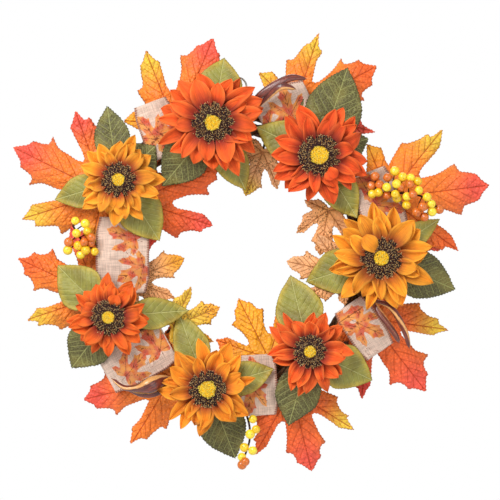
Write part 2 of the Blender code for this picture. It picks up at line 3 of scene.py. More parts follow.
import bmesh
import bpy
import numpy as np
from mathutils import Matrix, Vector
from mathutils.geometry import delaunay_2d_cdt


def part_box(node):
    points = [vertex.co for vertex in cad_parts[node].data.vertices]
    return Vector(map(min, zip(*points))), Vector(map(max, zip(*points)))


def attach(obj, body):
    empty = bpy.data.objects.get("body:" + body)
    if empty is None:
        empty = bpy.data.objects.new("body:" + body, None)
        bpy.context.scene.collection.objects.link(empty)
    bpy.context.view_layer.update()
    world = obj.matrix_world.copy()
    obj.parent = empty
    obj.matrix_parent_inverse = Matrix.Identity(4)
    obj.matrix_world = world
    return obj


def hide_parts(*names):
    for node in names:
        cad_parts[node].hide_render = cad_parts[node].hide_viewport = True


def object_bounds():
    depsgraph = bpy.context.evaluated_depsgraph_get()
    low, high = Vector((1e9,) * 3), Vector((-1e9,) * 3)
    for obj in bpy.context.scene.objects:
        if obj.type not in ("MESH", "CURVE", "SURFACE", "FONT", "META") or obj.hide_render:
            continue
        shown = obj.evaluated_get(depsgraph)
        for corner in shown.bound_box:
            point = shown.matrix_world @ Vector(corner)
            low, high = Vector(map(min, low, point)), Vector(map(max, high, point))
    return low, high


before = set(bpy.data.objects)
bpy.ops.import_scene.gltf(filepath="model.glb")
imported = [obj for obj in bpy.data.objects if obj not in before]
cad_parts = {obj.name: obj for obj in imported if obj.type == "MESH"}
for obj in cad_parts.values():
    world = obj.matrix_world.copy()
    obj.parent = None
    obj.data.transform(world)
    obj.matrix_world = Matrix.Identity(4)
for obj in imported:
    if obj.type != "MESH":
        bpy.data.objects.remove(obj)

CAD_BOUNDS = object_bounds()
MM = 0.001
TINY = 1e-9
ROOF_SLOPE = 0.2

# Thickness of each cloth.
LEAF_CLOTH = 0.5
PETAL_CLOTH = 0.45
RIBBON_CLOTH = 0.5

# Sizes that the CAD has too.
BERRY_RADIUS = 5.2
WIRE_RADIUS = 1.1
STRAND_OFFSET = 12.0
STRAND_TURNS = 5
STRAND_END_GAP_DEG = 1.2

# Leaves: spacing of a blade's vertices and of its outline's, length and depth of the teeth, spacing along
# the main veins, and a side vein's steps and distance from the edge.
MAPLE_SPACING, OVAL_SPACING = 2.1, 1.9
MAPLE_OUTLINE_STEP, OVAL_OUTLINE_STEP = 1.35, 1.2
MAPLE_TOOTH, MAPLE_TOOTH_DEPTH = 4.2, 1.3
OVAL_TOOTH, DARK_TOOTH_DEPTH, OLIVE_TOOTH_DEPTH = 3.8, 1.5, 0.7
LEAF_START = 3.0
VEIN_STEP = 4.0
SIDE_VEIN_STEPS = 9
SIDE_VEIN_MARGIN = 1.3

# Petals: vertices along and across, how far one may stand forward, and the whorls as (count, length and
# half width as shares of the reach, depth, turn in petals).
PETAL_ROWS, PETAL_COLUMNS = 13, 9
PETAL_RISE = 9.0
WHORLS = ((11, 1.06, 0.2, -8.0, 0.0), (11, 1.0, 0.2, -4.0, 0.5), (10, 0.88, 0.19, 0.0, 0.25))
SEPALS = 10

# Seed heads.
DOME_RINGS, DOME_SIDES = 14, 40
FIBRES_PER_SQUARE_MM = 1.7
GOLDEN_ANGLE = math.pi * (3.0 - math.sqrt(5.0))

# Ribbons: length of a printed leaf, spacing of a loop's vertices, the distance that means no print, and
# the pitch of the threads and of the scallops.
PRINT_LENGTH = 36.0
RIBBON_STEP = 1.2
NO_PRINT = 9.0
THREAD_PITCH = 1.25
SCALLOP_PITCH = 2.8

# Berries and vines: rings and sides of a berry, the depth in front of which twigs leave the stem, and
# the thin vines of a strand.
BERRY_RINGS, BERRY_SIDES = 12, 18
TWIGS_FROM = 38.0
TWIG_RADIUS = 0.7
STRAND_POINTS = 300
STRAND_MEMBERS = 4
TENDRILS = 4
BINDING_TURNS = 3

# Stage: the floor in metres below the wreath, its rings and sides, and the camera's lens and distance.
FLOOR_DROP = 2.6
FLOOR_RADII = np.linspace(1000.0, 20000.0, 10)
FLOOR_SIDES = 96
LENS = 154.0
CAMERA_DISTANCE = 2.45

# Lights: name, place from the middle of the wreath (depth from the door), size in metres, watts.
LIGHTS = (
    ("key", -1.1, -1.9, 1.3, 1.3, 60.0),
    ("fill", 1.5, -1.8, 0.1, 1.6, 12.0),
    ("back", 0.0, 1.8, 1.2, 1.4, 14.0),
)

# Seeds of the random draws, one range for each kind of piece.
MAPLE_SEED, SPRIG_SEED, PETAL_SEED, HEAD_SEED = 100, 300, 500, 700
RIBBON_SEED, BERRY_SEED, VINE_SEED = 900, 1100, 1300


def colour(red, green, blue):
    """Linear colour of an 8-bit display colour."""
    def linear(value):
        share = value / 255.0
        return share / 12.92 if share <= 0.04045 else ((share + 0.055) / 1.055) ** 2.4
    return np.array([linear(red), linear(green), linear(blue)])


ORANGE = colour(247, 126, 38)
DEEP_ORANGE = colour(238, 100, 36)
CORAL = colour(238, 84, 64)
RED = colour(214, 56, 40)
GOLD = colour(250, 168, 36)
OLIVE_YELLOW = colour(228, 184, 54)
PEACH = colour(243, 170, 110)
TAN = colour(230, 168, 116)
DARK_GREEN = colour(84, 78, 40)
MOSS = colour(124, 114, 54)
LIGHT_OLIVE = colour(146, 142, 64)
BURLAP = colour(240, 216, 198)
BURLAP_SHADE = colour(202, 162, 140)
WHITE = (1.0, 1.0, 1.0)
SPECK = colour(112, 80, 30)
HEAD_DARK = colour(46, 22, 20)
HEAD_UMBER = colour(88, 44, 30)
FIBRE_GOLD = colour(222, 150, 62)
FIBRE_CREAM = colour(255, 226, 160)
BUTTON = colour(255, 200, 20)
BUTTON_BRIGHT = colour(255, 232, 60)
BUTTON_PALE = colour(255, 250, 140)
COPPER = colour(214, 112, 34)
BERRY_YELLOW = colour(240, 190, 20)
BERRY_PALE = colour(252, 226, 60)
BERRY_EYE = colour(90, 50, 16)

# Ring, from the strands' boxes.
STRANDS = [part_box(f"vine_strand_{number}") for number in range(1, 5)]
RING_LOW = Vector([min(low[axis] for low, _ in STRANDS) for axis in range(3)])
RING_HIGH = Vector([max(high[axis] for _, high in STRANDS) for axis in range(3)])
RING_CENTRE = (RING_LOW + RING_HIGH) / 2.0
BUNDLE = (RING_HIGH.y - RING_LOW.y) / 2.0 / MM
RING = (RING_HIGH.x - RING_LOW.x) / 2.0 / MM - BUNDLE

# Maple leaf edge on one side: angle from the midrib, distance from the base, 1 where it is a sharp tip.
MAPLE_EDGE = (
    (168.0, 0.035, 0), (140.0, 0.15, 0), (127.0, 0.30, 1), (116.0, 0.34, 0), (102.0, 0.55, 1),
    (95.0, 0.49, 0), (88.0, 0.47, 1), (84.0, 0.36, 0), (79.0, 0.32, 0), (74.0, 0.36, 0),
    (67.0, 0.57, 1), (60.5, 0.56, 0), (53.0, 0.66, 0), (50.5, 0.75, 1), (47.5, 0.74, 0),
    (43.0, 0.86, 1), (38.5, 0.74, 0), (36.0, 0.71, 1), (35.5, 0.58, 0), (33.5, 0.44, 0),
    (28.5, 0.375, 0), (23.0, 0.40, 0), (19.0, 0.52, 0), (18.0, 0.62, 0), (20.0, 0.76, 1),
    (14.0, 0.74, 0), (10.5, 0.80, 0), (9.0, 0.88, 1), (5.0, 0.90, 0),
)
# Oval leaf edge on one side: share of the length, share of the half width.
OVAL_EDGE = ((0.0, 0.08), (0.1, 0.5), (0.24, 0.86), (0.42, 1.0), (0.6, 0.88), (0.78, 0.56), (0.91, 0.24))

# Maple leaf lobes: angle from the midrib, share of the length.
LOBES = ((0.0, 1.0), (43.0, 0.85), (-43.0, 0.85), (102.0, 0.55), (-102.0, 0.55))

# Maple leaves: node, heading, base colour, colours at the tip, upper left, upper right, lower left and
# lower right lobes, 1 where it is pale and speckled.
MAPLES = (
    ("maple_left_upper", 153.5, ORANGE, (CORAL, OLIVE_YELLOW, CORAL, OLIVE_YELLOW, ORANGE), 0),
    ("maple_top_left", 68.5, ORANGE, (CORAL, OLIVE_YELLOW, RED, GOLD, ORANGE), 0),
    ("maple_top_right", 29.0, ORANGE, (DEEP_ORANGE, OLIVE_YELLOW, CORAL, OLIVE_YELLOW, ORANGE), 0),
    ("maple_right_upper", 7.4, ORANGE, (CORAL, OLIVE_YELLOW, DEEP_ORANGE, GOLD, ORANGE), 0),
    ("maple_right_side", -21.2, DEEP_ORANGE, (CORAL, DEEP_ORANGE, RED, ORANGE, RED), 0),
    ("maple_right_lower", 308.0, DEEP_ORANGE, (CORAL, OLIVE_YELLOW, RED, OLIVE_YELLOW, ORANGE), 0),
    ("maple_bottom", 284.5, DEEP_ORANGE, (CORAL, OLIVE_YELLOW, DEEP_ORANGE, OLIVE_YELLOW, RED), 0),
    ("maple_left_lower", 194.7, ORANGE, (CORAL, ORANGE, CORAL, DEEP_ORANGE, ORANGE), 0),
    ("maple_left_side", 154.9, ORANGE, (DEEP_ORANGE, OLIVE_YELLOW, CORAL, OLIVE_YELLOW, RED), 0),
    ("maple_inner_bottom", 117.0, GOLD, (GOLD, ORANGE, ORANGE, ORANGE, GOLD), 0),
    ("maple_inner_upper_left", 25.3, DEEP_ORANGE, (DEEP_ORANGE, CORAL, CORAL, DEEP_ORANGE, RED), 0),
    ("maple_inner_left", 20.9, PEACH, (GOLD, PEACH, PEACH, GOLD, TAN), 1),
    ("maple_inner_lower_left", 21.9, OLIVE_YELLOW, (GOLD, OLIVE_YELLOW, GOLD, OLIVE_YELLOW, GOLD), 1),
    ("maple_inner_right", 260.1, PEACH, (PEACH, TAN, PEACH, TAN, PEACH), 1),
    ("maple_inner_lower_right", 168.0, PEACH, (TAN, PEACH, TAN, PEACH, TAN), 1),
    ("maple_inner_top", 248.4, TAN, (OLIVE_YELLOW, TAN, OLIVE_YELLOW, TAN, OLIVE_YELLOW), 1),
)

# Sunflowers: name, petal colour, colour at the petals' edges, colour at their base (a red flush of the cloth
# deepened by painted shade where the petals meet under the seed head), radius of the yellow button as a
# share of the seed head, and the green leaves as (heading, reach, width, dark and serrated).
RUST = colour(228, 84, 24)
AMBER = colour(238, 142, 26)
SUNFLOWERS = (
    ("upper_left", AMBER, colour(250, 172, 50), colour(148, 40, 20), 0.33,
     ((100.2, 89.0, 43.0, 1), (44.2, 58.0, 46.0, 1), (196.2, 80.0, 40.0, 0), (303.2, 84.0, 52.0, 0))),
    ("top", RUST, colour(244, 112, 40), colour(126, 26, 14), 0.38,
     ((230.6, 93.0, 53.0, 1), (80.6, 80.0, 56.0, 0), (-63.4, 85.0, 42.0, 0))),
    ("upper_right", colour(222, 74, 20), colour(242, 104, 36), colour(118, 24, 14), 0.41,
     ((71.8, 110.0, 66.0, 1), (100.8, 74.0, 40.0, 1), (19.8, 62.0, 41.0, 1), (-58.2, 85.0, 42.0, 0),
      (154.8, 80.0, 46.0, 0))),
    ("right", AMBER, colour(250, 168, 44), colour(150, 60, 14), 0.31,
     ((198.0, 90.0, 53.0, 0), (-22.5, 97.0, 56.0, 1), (32.6, 85.0, 30.0, 0))),
    ("lower_right", colour(228, 86, 24), colour(244, 116, 42), colour(132, 30, 16), 0.32,
     ((463.9, 90.0, 56.0, 0), (-25.4, 82.0, 54.0, 0), (254.6, 91.0, 54.0, 1))),
    ("bottom", colour(236, 132, 22), colour(248, 160, 40), colour(150, 52, 16), 0.46,
     ((111.8, 94.0, 42.0, 0), (375.8, 80.0, 40.0, 0), (290.8, 90.0, 56.0, 1))),
    ("lower_left", colour(230, 92, 20), colour(242, 116, 34), colour(132, 26, 18), 0.33,
     ((136.0, 86.0, 53.0, 0), (233.0, 76.0, 53.0, 1), (4.3, 92.0, 38.0, 0))),
)

# Leaves that stand further forward at their tips: flower and place in its row.
LIFTED_LEAVES = {("bottom", 1): 7.0, ("top", 0): 5.0}

# A petal bent inwards over the seed head: its bearing, and how near the middle its tip comes.
BENT_PETALS = {"upper_right": (-58.0, 0.72), "right": (128.0, 0.4), "lower_left": (70.0, 0.7)}

# Ribbon loops: name, heading, length, width, arch, printed leaves as (u, v, turn), printed curls as (u, v).
RIBBONS = (
    ("ribbon_upper_left", 290.0, 62.0, 44.0, 1.5,
     ((-3.0, -12.0, 200.0), (17.0, 9.0, 40.0)), ((-14.0, 12.0),)),
    ("ribbon_left", 90.0, 84.0, 60.0, 5.0, ((23.0, -2.0, 70.0), (-20.0, -12.0, 120.0)), ((4.0, -7.0),)),
    ("ribbon_lower_left", 28.7, 78.0, 52.0, 5.0, ((-7.0, -6.0, 20.0), (26.0, 10.0, 100.0)), ((10.0, -12.0),)),
    ("ribbon_bottom", 93.0, 66.0, 44.0, 3.0, ((14.0, 12.0, 60.0), (-14.0, 10.0, 170.0)), ((10.0, -9.0),)),
    ("ribbon_lower_right", 304.4, 62.0, 42.0, 5.0, ((2.0, 4.0, 30.0), (-22.0, -8.0, 90.0)), ((24.0, -10.0),)),
    ("ribbon_upper_right", -68.7, 72.0, 50.0, 3.0, ((8.0, 8.0, 60.0), (-22.0, -8.0, 10.0)), ((22.0, -8.0),)),
    ("ribbon_top", 25.5, 60.0, 50.0, 3.0, ((4.0, 4.0, 80.0), (-18.0, -14.0, 10.0)), ((20.0, -10.0),)),
)

# Seed pods and berry stems: (bearing, offset from the ring, depth, radius) corners.
PODS = (
    ("pods_top", (
        ((83.0, 9.0, 19.0, 2.0), (83.0, 9.0, 40.0, 2.0), (83.0, 24.0, 49.0, 3.6),
         (78.6, 39.0, 54.0, 5.0), (73.0, 56.0, 54.0, 4.4), (68.0, 62.0, 50.0, 2.0)),
        ((83.0, 14.0, 44.0, 2.0), (79.0, 28.0, 52.0, 3.0), (75.0, 43.0, 62.0, 4.0),
         (70.0, 46.0, 58.0, 1.8)))),
    ("pods_lower_left", (
        ((248.0, 8.0, 19.5, 2.2), (248.0, 8.0, 36.0, 2.2), (240.5, 14.0, 46.0, 5.5),
         (236.5, 27.0, 56.0, 9.5), (234.0, 37.0, 56.0, 5.0), (230.0, 48.0, 53.0, 3.0),
         (225.0, 50.0, 50.0, 1.8)),
        ((243.0, 14.0, 44.0, 2.2), (240.5, 31.0, 46.0, 3.2), (236.5, 41.0, 47.0, 3.6),
         (231.0, 48.0, 44.0, 1.8)))),
    ("pods_lower_right", (
        ((341.2, 12.0, 18.0, 2.0), (341.2, 12.0, 42.0, 2.0), (337.0, 25.0, 49.5, 4.0),
         (332.9, 50.0, 54.0, 3.8), (331.0, 60.0, 50.0, 1.8)),
        ((340.9, 14.0, 45.0, 2.0), (340.5, 34.0, 46.0, 3.2), (335.5, 58.0, 46.0, 3.6),
         (331.0, 74.0, 42.0, 1.8)))),
)

# Berry sprays: name, depth of the spray's middle, corners of the stem, and the berries as (bearing, offset,
# depth forward of the middle, 1 where it is copper-coloured).
BERRY_SPRAYS = (
    ("berry_spray_right", 46.0, (
        (24.5, 12.0, 17.5, 1.4), (24.5, 12.0, 43.0, 1.4), (24.2, 14.0, 46.0, 1.4),
        (18.5, 60.0, 50.0, 1.3), (14.0, 82.0, 48.0, 1.2)),
     ((26.6, 19.0, 2.0, 1), (23.6, 16.0, 3.0, 0), (23.2, 23.0, 6.0, 0), (25.6, 28.0, 5.0, 1),
      (26.6, 40.0, 4.0, 1), (23.7, 34.0, 9.0, 0), (23.4, 46.0, 10.0, 0), (24.6, 56.0, 5.0, 0),
      (21.9, 49.0, 8.0, 1), (18.9, 41.0, 3.0, 0), (18.4, 52.0, 7.0, 0), (15.8, 49.0, 3.0, 0),
      (23.4, 64.0, 7.0, 0), (21.6, 70.0, 6.0, 0), (19.0, 67.0, 10.0, 0), (16.4, 74.0, 8.0, 0),
      (14.2, 77.0, 6.0, 0), (12.0, 76.0, 2.0, 0), (10.9, 66.0, 1.0, 1), (29.0, 28.0, 1.0, 1),
      (21.0, 31.0, 2.0, 1), (20.4, 40.0, 11.0, 0), (27.4, 51.0, 2.0, 0), (21.6, 60.0, 11.0, 1),
      (18.4, 59.0, 12.0, 1), (14.0, 66.0, 9.0, 1), (12.1, 85.0, 1.0, 1), (12.8, 58.0, 5.0, 1))),
    ("berry_spray_left", 44.0, (
        (178.5, 13.0, 17.0, 1.4), (178.5, 13.0, 36.0, 1.4), (178.0, 14.0, 40.0, 1.4),
        (175.0, 26.0, 44.0, 1.3), (170.5, 38.0, 44.0, 1.2)),
     ((168.7, 36.0, 1.0, 0), (169.0, 24.0, 2.0, 0), (171.7, 20.0, 5.0, 0), (173.0, 32.0, 5.0, 0),
      (177.3, 29.0, 5.0, 0), (176.1, 15.0, 3.0, 1), (179.0, 41.0, 2.0, 0), (178.9, 20.0, 6.0, 0),
      (180.6, 26.0, 2.0, 0), (179.4, 10.0, 1.0, 0), (173.9, 14.0, 8.0, 1), (176.3, 40.0, 4.0, 1),
      (175.9, 22.0, 9.0, 1))),
    ("berry_spray_bottom", 48.0, (
        (269.2, 10.0, 18.0, 1.4), (269.2, 10.0, 36.0, 1.4), (273.5, 34.0, 46.0, 1.3),
        (274.0, 60.0, 48.0, 1.2), (271.5, 88.0, 46.0, 1.1)),
     ((275.5, 38.0, 2.0, 0), (276.2, 50.0, 4.0, 0), (274.2, 55.0, 3.0, 0), (272.2, 70.0, 2.0, 0),
      (274.6, 74.0, 5.0, 0), (271.4, 81.0, 2.0, 0), (272.3, 86.0, 7.0, 1), (271.4, 90.0, 3.0, 1))),
)
BINDINGS = ("vine_binding_left", "vine_binding_right", "vine_binding_bottom")


# ---------------------------------------------------------------- small geometry helpers

def smoothstep(low, high, value):
    """0 at low, 1 at high, smooth between."""
    share = np.clip((value - low) / (high - low), 0.0, 1.0)
    return share * share * (3.0 - 2.0 * share)


def mixed(first, second, share):
    """Rows between two colours, by a share for each row."""
    share = np.asarray(share)[:, None]
    return np.asarray(first) * (1.0 - share) + np.asarray(second) * share


def blend(first, second, share):
    """One colour between two."""
    return mixed(first, second, [share])[0]


def ring_plane(bearing, offset):
    """Plane coordinates of a bearing and an offset from the ring's centreline."""
    return polar(bearing, RING + offset)


def ring_path(bearings, offsets, depths):
    """Rows of (x, z, depth) along the ring."""
    plane = np.array([ring_plane(bearing, offset) for bearing, offset in zip(bearings, offsets)])
    return np.column_stack([plane, depths])


def to_world(points):
    """World metres of rows of (x, z, depth)."""
    points = np.asarray(points, float)
    world = np.empty_like(points)
    world[:, 0] = RING_CENTRE.x + points[:, 0] * MM
    world[:, 1] = RING_CENTRE.y - points[:, 2] * MM
    world[:, 2] = RING_CENTRE.z + points[:, 1] * MM
    return world


def node_points(node):
    """A CAD node's vertices as rows of (x, z, depth)."""
    world = np.array([vertex.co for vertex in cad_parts[node].data.vertices], float)
    offset = (world - np.array(RING_CENTRE)) / MM
    return np.column_stack([offset[:, 0], offset[:, 2], -offset[:, 1]])


def away_from_ring(x, z):
    """Distance in the plane from the ring's centreline."""
    return np.abs(np.hypot(x, z) - RING)


def crest_of(node):
    """Depth of the roof-shaped layer that a node's blades lie on, where it crosses the ring."""
    points = node_points(node)
    return float(np.median(points[:, 2] + ROOF_SLOPE * away_from_ring(points[:, 0], points[:, 1])))


def plane_box(node, layer_depth=None, slack=1.6):
    """Lowest and highest plane corner of a node, of its blades alone where their layer is given."""
    points = node_points(node)
    if layer_depth is not None:
        roof = layer_depth - ROOF_SLOPE * away_from_ring(points[:, 0], points[:, 1])
        points = points[np.abs(points[:, 2] - roof) < slack]
    return points[:, :2].min(0), points[:, :2].max(0)


def plane_disc(node):
    """Middle and radius of a round node, seen from the front."""
    low, high = plane_box(node)
    x, z = (low + high) / 2.0
    return x, z, float((high - low).mean()) / 2.0


def turned(points, degrees):
    """Plane points turned about the origin."""
    angle = math.radians(degrees)
    cosine, sine = math.cos(angle), math.sin(angle)
    return points @ np.array([[cosine, sine], [-sine, cosine]])


def catmull(corners, step):
    """Points every few millimetres on a Catmull-Rom curve through corners."""
    corners = np.asarray(corners, float)
    ends = np.vstack([2 * corners[0] - corners[1], corners, 2 * corners[-1] - corners[-2]])
    path = []
    for a, b, c, d in zip(ends, ends[1:], ends[2:], ends[3:]):
        count = max(1, int(round(np.linalg.norm((c - b)[:3]) / step)))
        for number in range(count):
            t = number / count
            path.append(0.5 * (2 * b + (c - a) * t + (2 * a - 5 * b + 4 * c - d) * t ** 2
                               + (3 * b - a - 3 * c + d) * t ** 3))
    path.append(ends[-2])
    return np.array(path)


def polar(bearing, reach):
    """Plane coordinates of a bearing in degrees and a distance."""
    angle = math.radians(bearing)
    return reach * math.cos(angle), reach * math.sin(angle)


def unit(vectors):
    """Rows of vectors made one long."""
    return vectors / np.maximum(np.linalg.norm(vectors, axis=1, keepdims=True), TINY)


def run_lengths(path):
    """Distance along a path at each of its points."""
    return np.concatenate([[0.0], np.cumsum(np.linalg.norm(np.diff(path, axis=0), axis=1))])


def segment_distance(points, starts, ends):
    """Distance from each point to the nearest of many segments."""
    span = ends - starts
    along = ((points[:, None] - starts) * span).sum(2) / np.maximum((span ** 2).sum(1), TINY)
    nearest = starts + np.clip(along, 0.0, 1.0)[..., None] * span
    return np.linalg.norm(points[:, None] - nearest, axis=2).min(1)


def line_distance(points, lines):
    """Distance from each point to the nearest of many open lines."""
    return segment_distance(points, np.vstack([line[:-1] for line in lines]),
                            np.vstack([line[1:] for line in lines]))


def edge_distance(points, outline):
    """Distance from each point to a closed outline."""
    return segment_distance(points, outline, np.roll(outline, -1, axis=0))


def inside_outline(points, outline):
    """Whether each point is inside a closed outline."""
    x, y = points[:, :1], points[:, 1:]
    after = np.roll(outline, -1, axis=0)
    crosses = (outline[:, 1] > y) != (after[:, 1] > y)
    rise = after[:, 1] - outline[:, 1]
    rise = np.where(np.abs(rise) < TINY, TINY, rise)
    reach = outline[:, 0] + (y - outline[:, 1]) * (after[:, 0] - outline[:, 0]) / rise
    return (crosses & (x < reach)).sum(1) % 2 == 1


def ripple(points, wavelength, rng):
    """Smooth unevenness of about one unit, from a few crossing waves."""
    total = np.zeros(len(points))
    for _ in range(4):
        angle, phase = rng.uniform(0.0, 2.0 * math.pi, 2)
        scale = 2.0 * math.pi / (wavelength * rng.uniform(0.7, 1.5))
        along = points[:, 0] * math.cos(angle) + points[:, 1] * math.sin(angle)
        total += np.sin(along * scale + phase)
    return total / 2.0


# ---------------------------------------------------------------- meshes

class Shape:
    """Vertices as (x, z, depth), faces, and what each vertex tells its material."""

    def __init__(self):
        self.points, self.faces, self.slots = [], [], []
        self.tints, self.details, self.prints = [], [], []
        self.count = 0

    def add(self, points, faces, tint, detail=(0.0, 0.0, 0.0), slot=0, prints=NO_PRINT):
        """Add a patch of vertices and faces."""
        size = len(points)
        self.points.append(np.asarray(points, float))
        self.tints.append(np.broadcast_to(tint, (size, 3)))
        self.details.append(np.broadcast_to(detail, (size, 3)))
        self.prints.append(np.broadcast_to(prints, (size, 3)))
        self.faces += [tuple(int(corner) + self.count for corner in face) for face in faces]
        self.slots += [slot] * len(faces)
        self.count += size

    def build(self, name, materials):
        """Make the object, with smooth faces and its attributes."""
        mesh = bpy.data.meshes.new(name)
        mesh.from_pydata(to_world(np.vstack(self.points)).tolist(), [], self.faces)
        for material in materials:
            mesh.materials.append(material)
        mesh.polygons.foreach_set("material_index", self.slots)
        mesh.polygons.foreach_set("use_smooth", [True] * len(self.faces))
        tints = np.column_stack([np.vstack(self.tints), np.ones(self.count)]).astype(np.float32)
        mesh.attributes.new("tint", "FLOAT_COLOR", "POINT").data.foreach_set("color", tints.ravel())
        for title, rows in (("detail", self.details), ("prints", self.prints)):
            values = np.vstack(rows).astype(np.float32).ravel()
            mesh.attributes.new(title, "FLOAT_VECTOR", "POINT").data.foreach_set("vector", values)
        bm = bmesh.new()
        bm.from_mesh(mesh)
        bmesh.ops.recalc_face_normals(bm, faces=bm.faces)
        bm.to_mesh(mesh)
        bm.free()
        obj = bpy.data.objects.new(name, mesh)
        bpy.context.scene.collection.objects.link(obj)
        return obj


def grid_faces(rows, columns, closed=False):
    """Quads of a grid of vertices, the columns closed into a ring where asked."""
    faces = []
    for row in range(rows - 1):
        for column in range(columns if closed else columns - 1):
            after = (column + 1) % columns
            first, second = row * columns, (row + 1) * columns
            faces.append((first + column, first + after, second + after, second + column))
    return faces


def end_caps(count, sides):
    """The two faces that close a tube of so many vertices."""
    return [tuple(range(sides)), tuple(range(count - 1, count - sides - 1, -1))]


def tube(shape, path, radii, sides, tint=WHITE, slot=0, ridges=0, ridge_depth=0.0, twist=0.0, flat=1.0):
    """A closed tube along a path, with lengthwise ridges; detail is (length, angle, radius)."""
    path, radii = np.asarray(path, float), np.broadcast_to(radii, len(path)).astype(float)
    tangents = unit(np.gradient(path, axis=0))
    lengths = run_lengths(path)
    side = np.cross(tangents[0], (0.3, 0.2, 1.0))
    points, details = [], []
    for centre, tangent, radius, length in zip(path, tangents, radii, lengths):
        side = side - tangent * side.dot(tangent)
        side /= max(np.linalg.norm(side), TINY)
        up = np.cross(tangent, side)
        for number in range(sides):
            angle = 2.0 * math.pi * number / sides
            ridge = 1.0 + ridge_depth * math.cos(ridges * angle + twist * length)
            across, over = math.cos(angle) * radius * ridge, math.sin(angle) * radius * ridge * flat
            points.append(centre + side * across + up * over)
            details.append((length, angle + twist * length / max(ridges, 1), radius))
    faces = grid_faces(len(path), sides, closed=True) + end_caps(len(points), sides)
    shape.add(points, faces, tint, np.array(details), slot)


# ---------------------------------------------------------------- materials

class Graph:
    """Short calls for building a node material."""

    def __init__(self, name):
        self.material = bpy.data.materials.new(name)
        self.material.use_nodes = True
        self.tree = self.material.node_tree
        self.shader = self.tree.nodes["Principled BSDF"]

    def put(self, socket, value):
        """Link a socket to a socket, or set its constant."""
        if isinstance(value, bpy.types.NodeSocket):
            self.tree.links.new(value, socket)
        else:
            socket.default_value = value

    def node(self, kind, inputs=(), **settings):
        """A node with its settings and its first inputs."""
        made = self.tree.nodes.new("ShaderNode" + kind)
        for key, value in settings.items():
            setattr(made, key, value)
        for key, value in dict(inputs).items():
            self.put(made.inputs[key], value)
        return made

    def position(self):
        """Object coordinates, in metres."""
        return self.node("TexCoord").outputs["Object"]

    def attribute(self, name, output="Vector"):
        """A vertex attribute."""
        return self.node("Attribute", attribute_name=name).outputs[output]

    def split(self, vector):
        """The three parts of a vector."""
        return self.node("SeparateXYZ", {0: vector}).outputs

    def join(self, x, y, z=0.0):
        """A vector from three parts."""
        return self.node("CombineXYZ", {0: x, 1: y, 2: z}).outputs[0]

    def maths(self, operation, first, second=0.0):
        """One calculation on one or two values."""
        return self.node("Math", {0: first, 1: second}, operation=operation).outputs[0]

    def times(self, first, second):
        """The product of two values."""
        return self.maths("MULTIPLY", first, second)

    def plus(self, first, second):
        """The sum of two values."""
        return self.maths("ADD", first, second)

    def span(self, value, low, high, out_low=0.0, out_high=1.0):
        """A smooth step from low to high, carried to another range."""
        return self.node("MapRange", {0: value, 1: low, 2: high, 3: out_low, 4: out_high},
                         interpolation_type="SMOOTHSTEP").outputs[0]

    def noise(self, vector, scale, detail=2.0, roughness=0.5):
        """A noise value."""
        inputs = {"Vector": vector, "Scale": scale, "Detail": detail, "Roughness": roughness}
        return self.node("TexNoise", inputs).outputs[0]

    def cells(self, vector, scale):
        """Distance to the nearest point of a scatter."""
        return self.node("TexVoronoi", {"Vector": vector, "Scale": scale}).outputs["Distance"]

    def mix(self, share, first, second, blend="MIX"):
        """Two colours mixed by a share."""
        made = self.node("Mix", data_type="RGBA", blend_type=blend)
        self.put(made.inputs[0], share)
        for socket, value in ((made.inputs[6], first), (made.inputs[7], second)):
            self.put(socket, value if isinstance(value, bpy.types.NodeSocket) else (*value, 1.0))
        return made.outputs[2]

    def grey(self, value):
        """A value as a grey colour."""
        return self.node("CombineColor", {0: value, 1: value, 2: value}).outputs[0]

    def shaded(self, tint, value, low, high, dark, light):
        """A colour darkened and lightened as a value goes from low to high."""
        return self.mix(1.0, tint, self.grey(self.span(value, low, high, dark, light)), "MULTIPLY")

    def surface(self, base, roughness, height=None, strength=0.5, distance=0.0006):
        """Set the shader's colour, roughness and bump."""
        self.put(self.shader.inputs["Base Color"], base)
        self.put(self.shader.inputs["Roughness"], roughness)
        if height is not None:
            bump = self.node("Bump", {"Strength": strength, "Distance": distance, "Height": height})
            self.put(self.shader.inputs["Normal"], bump.outputs[0])

    def constant(self, **values):
        """Set constants on the shader's own sockets."""
        for key, value in values.items():
            self.shader.inputs[key.replace("_", " ")].default_value = value
        return self.material


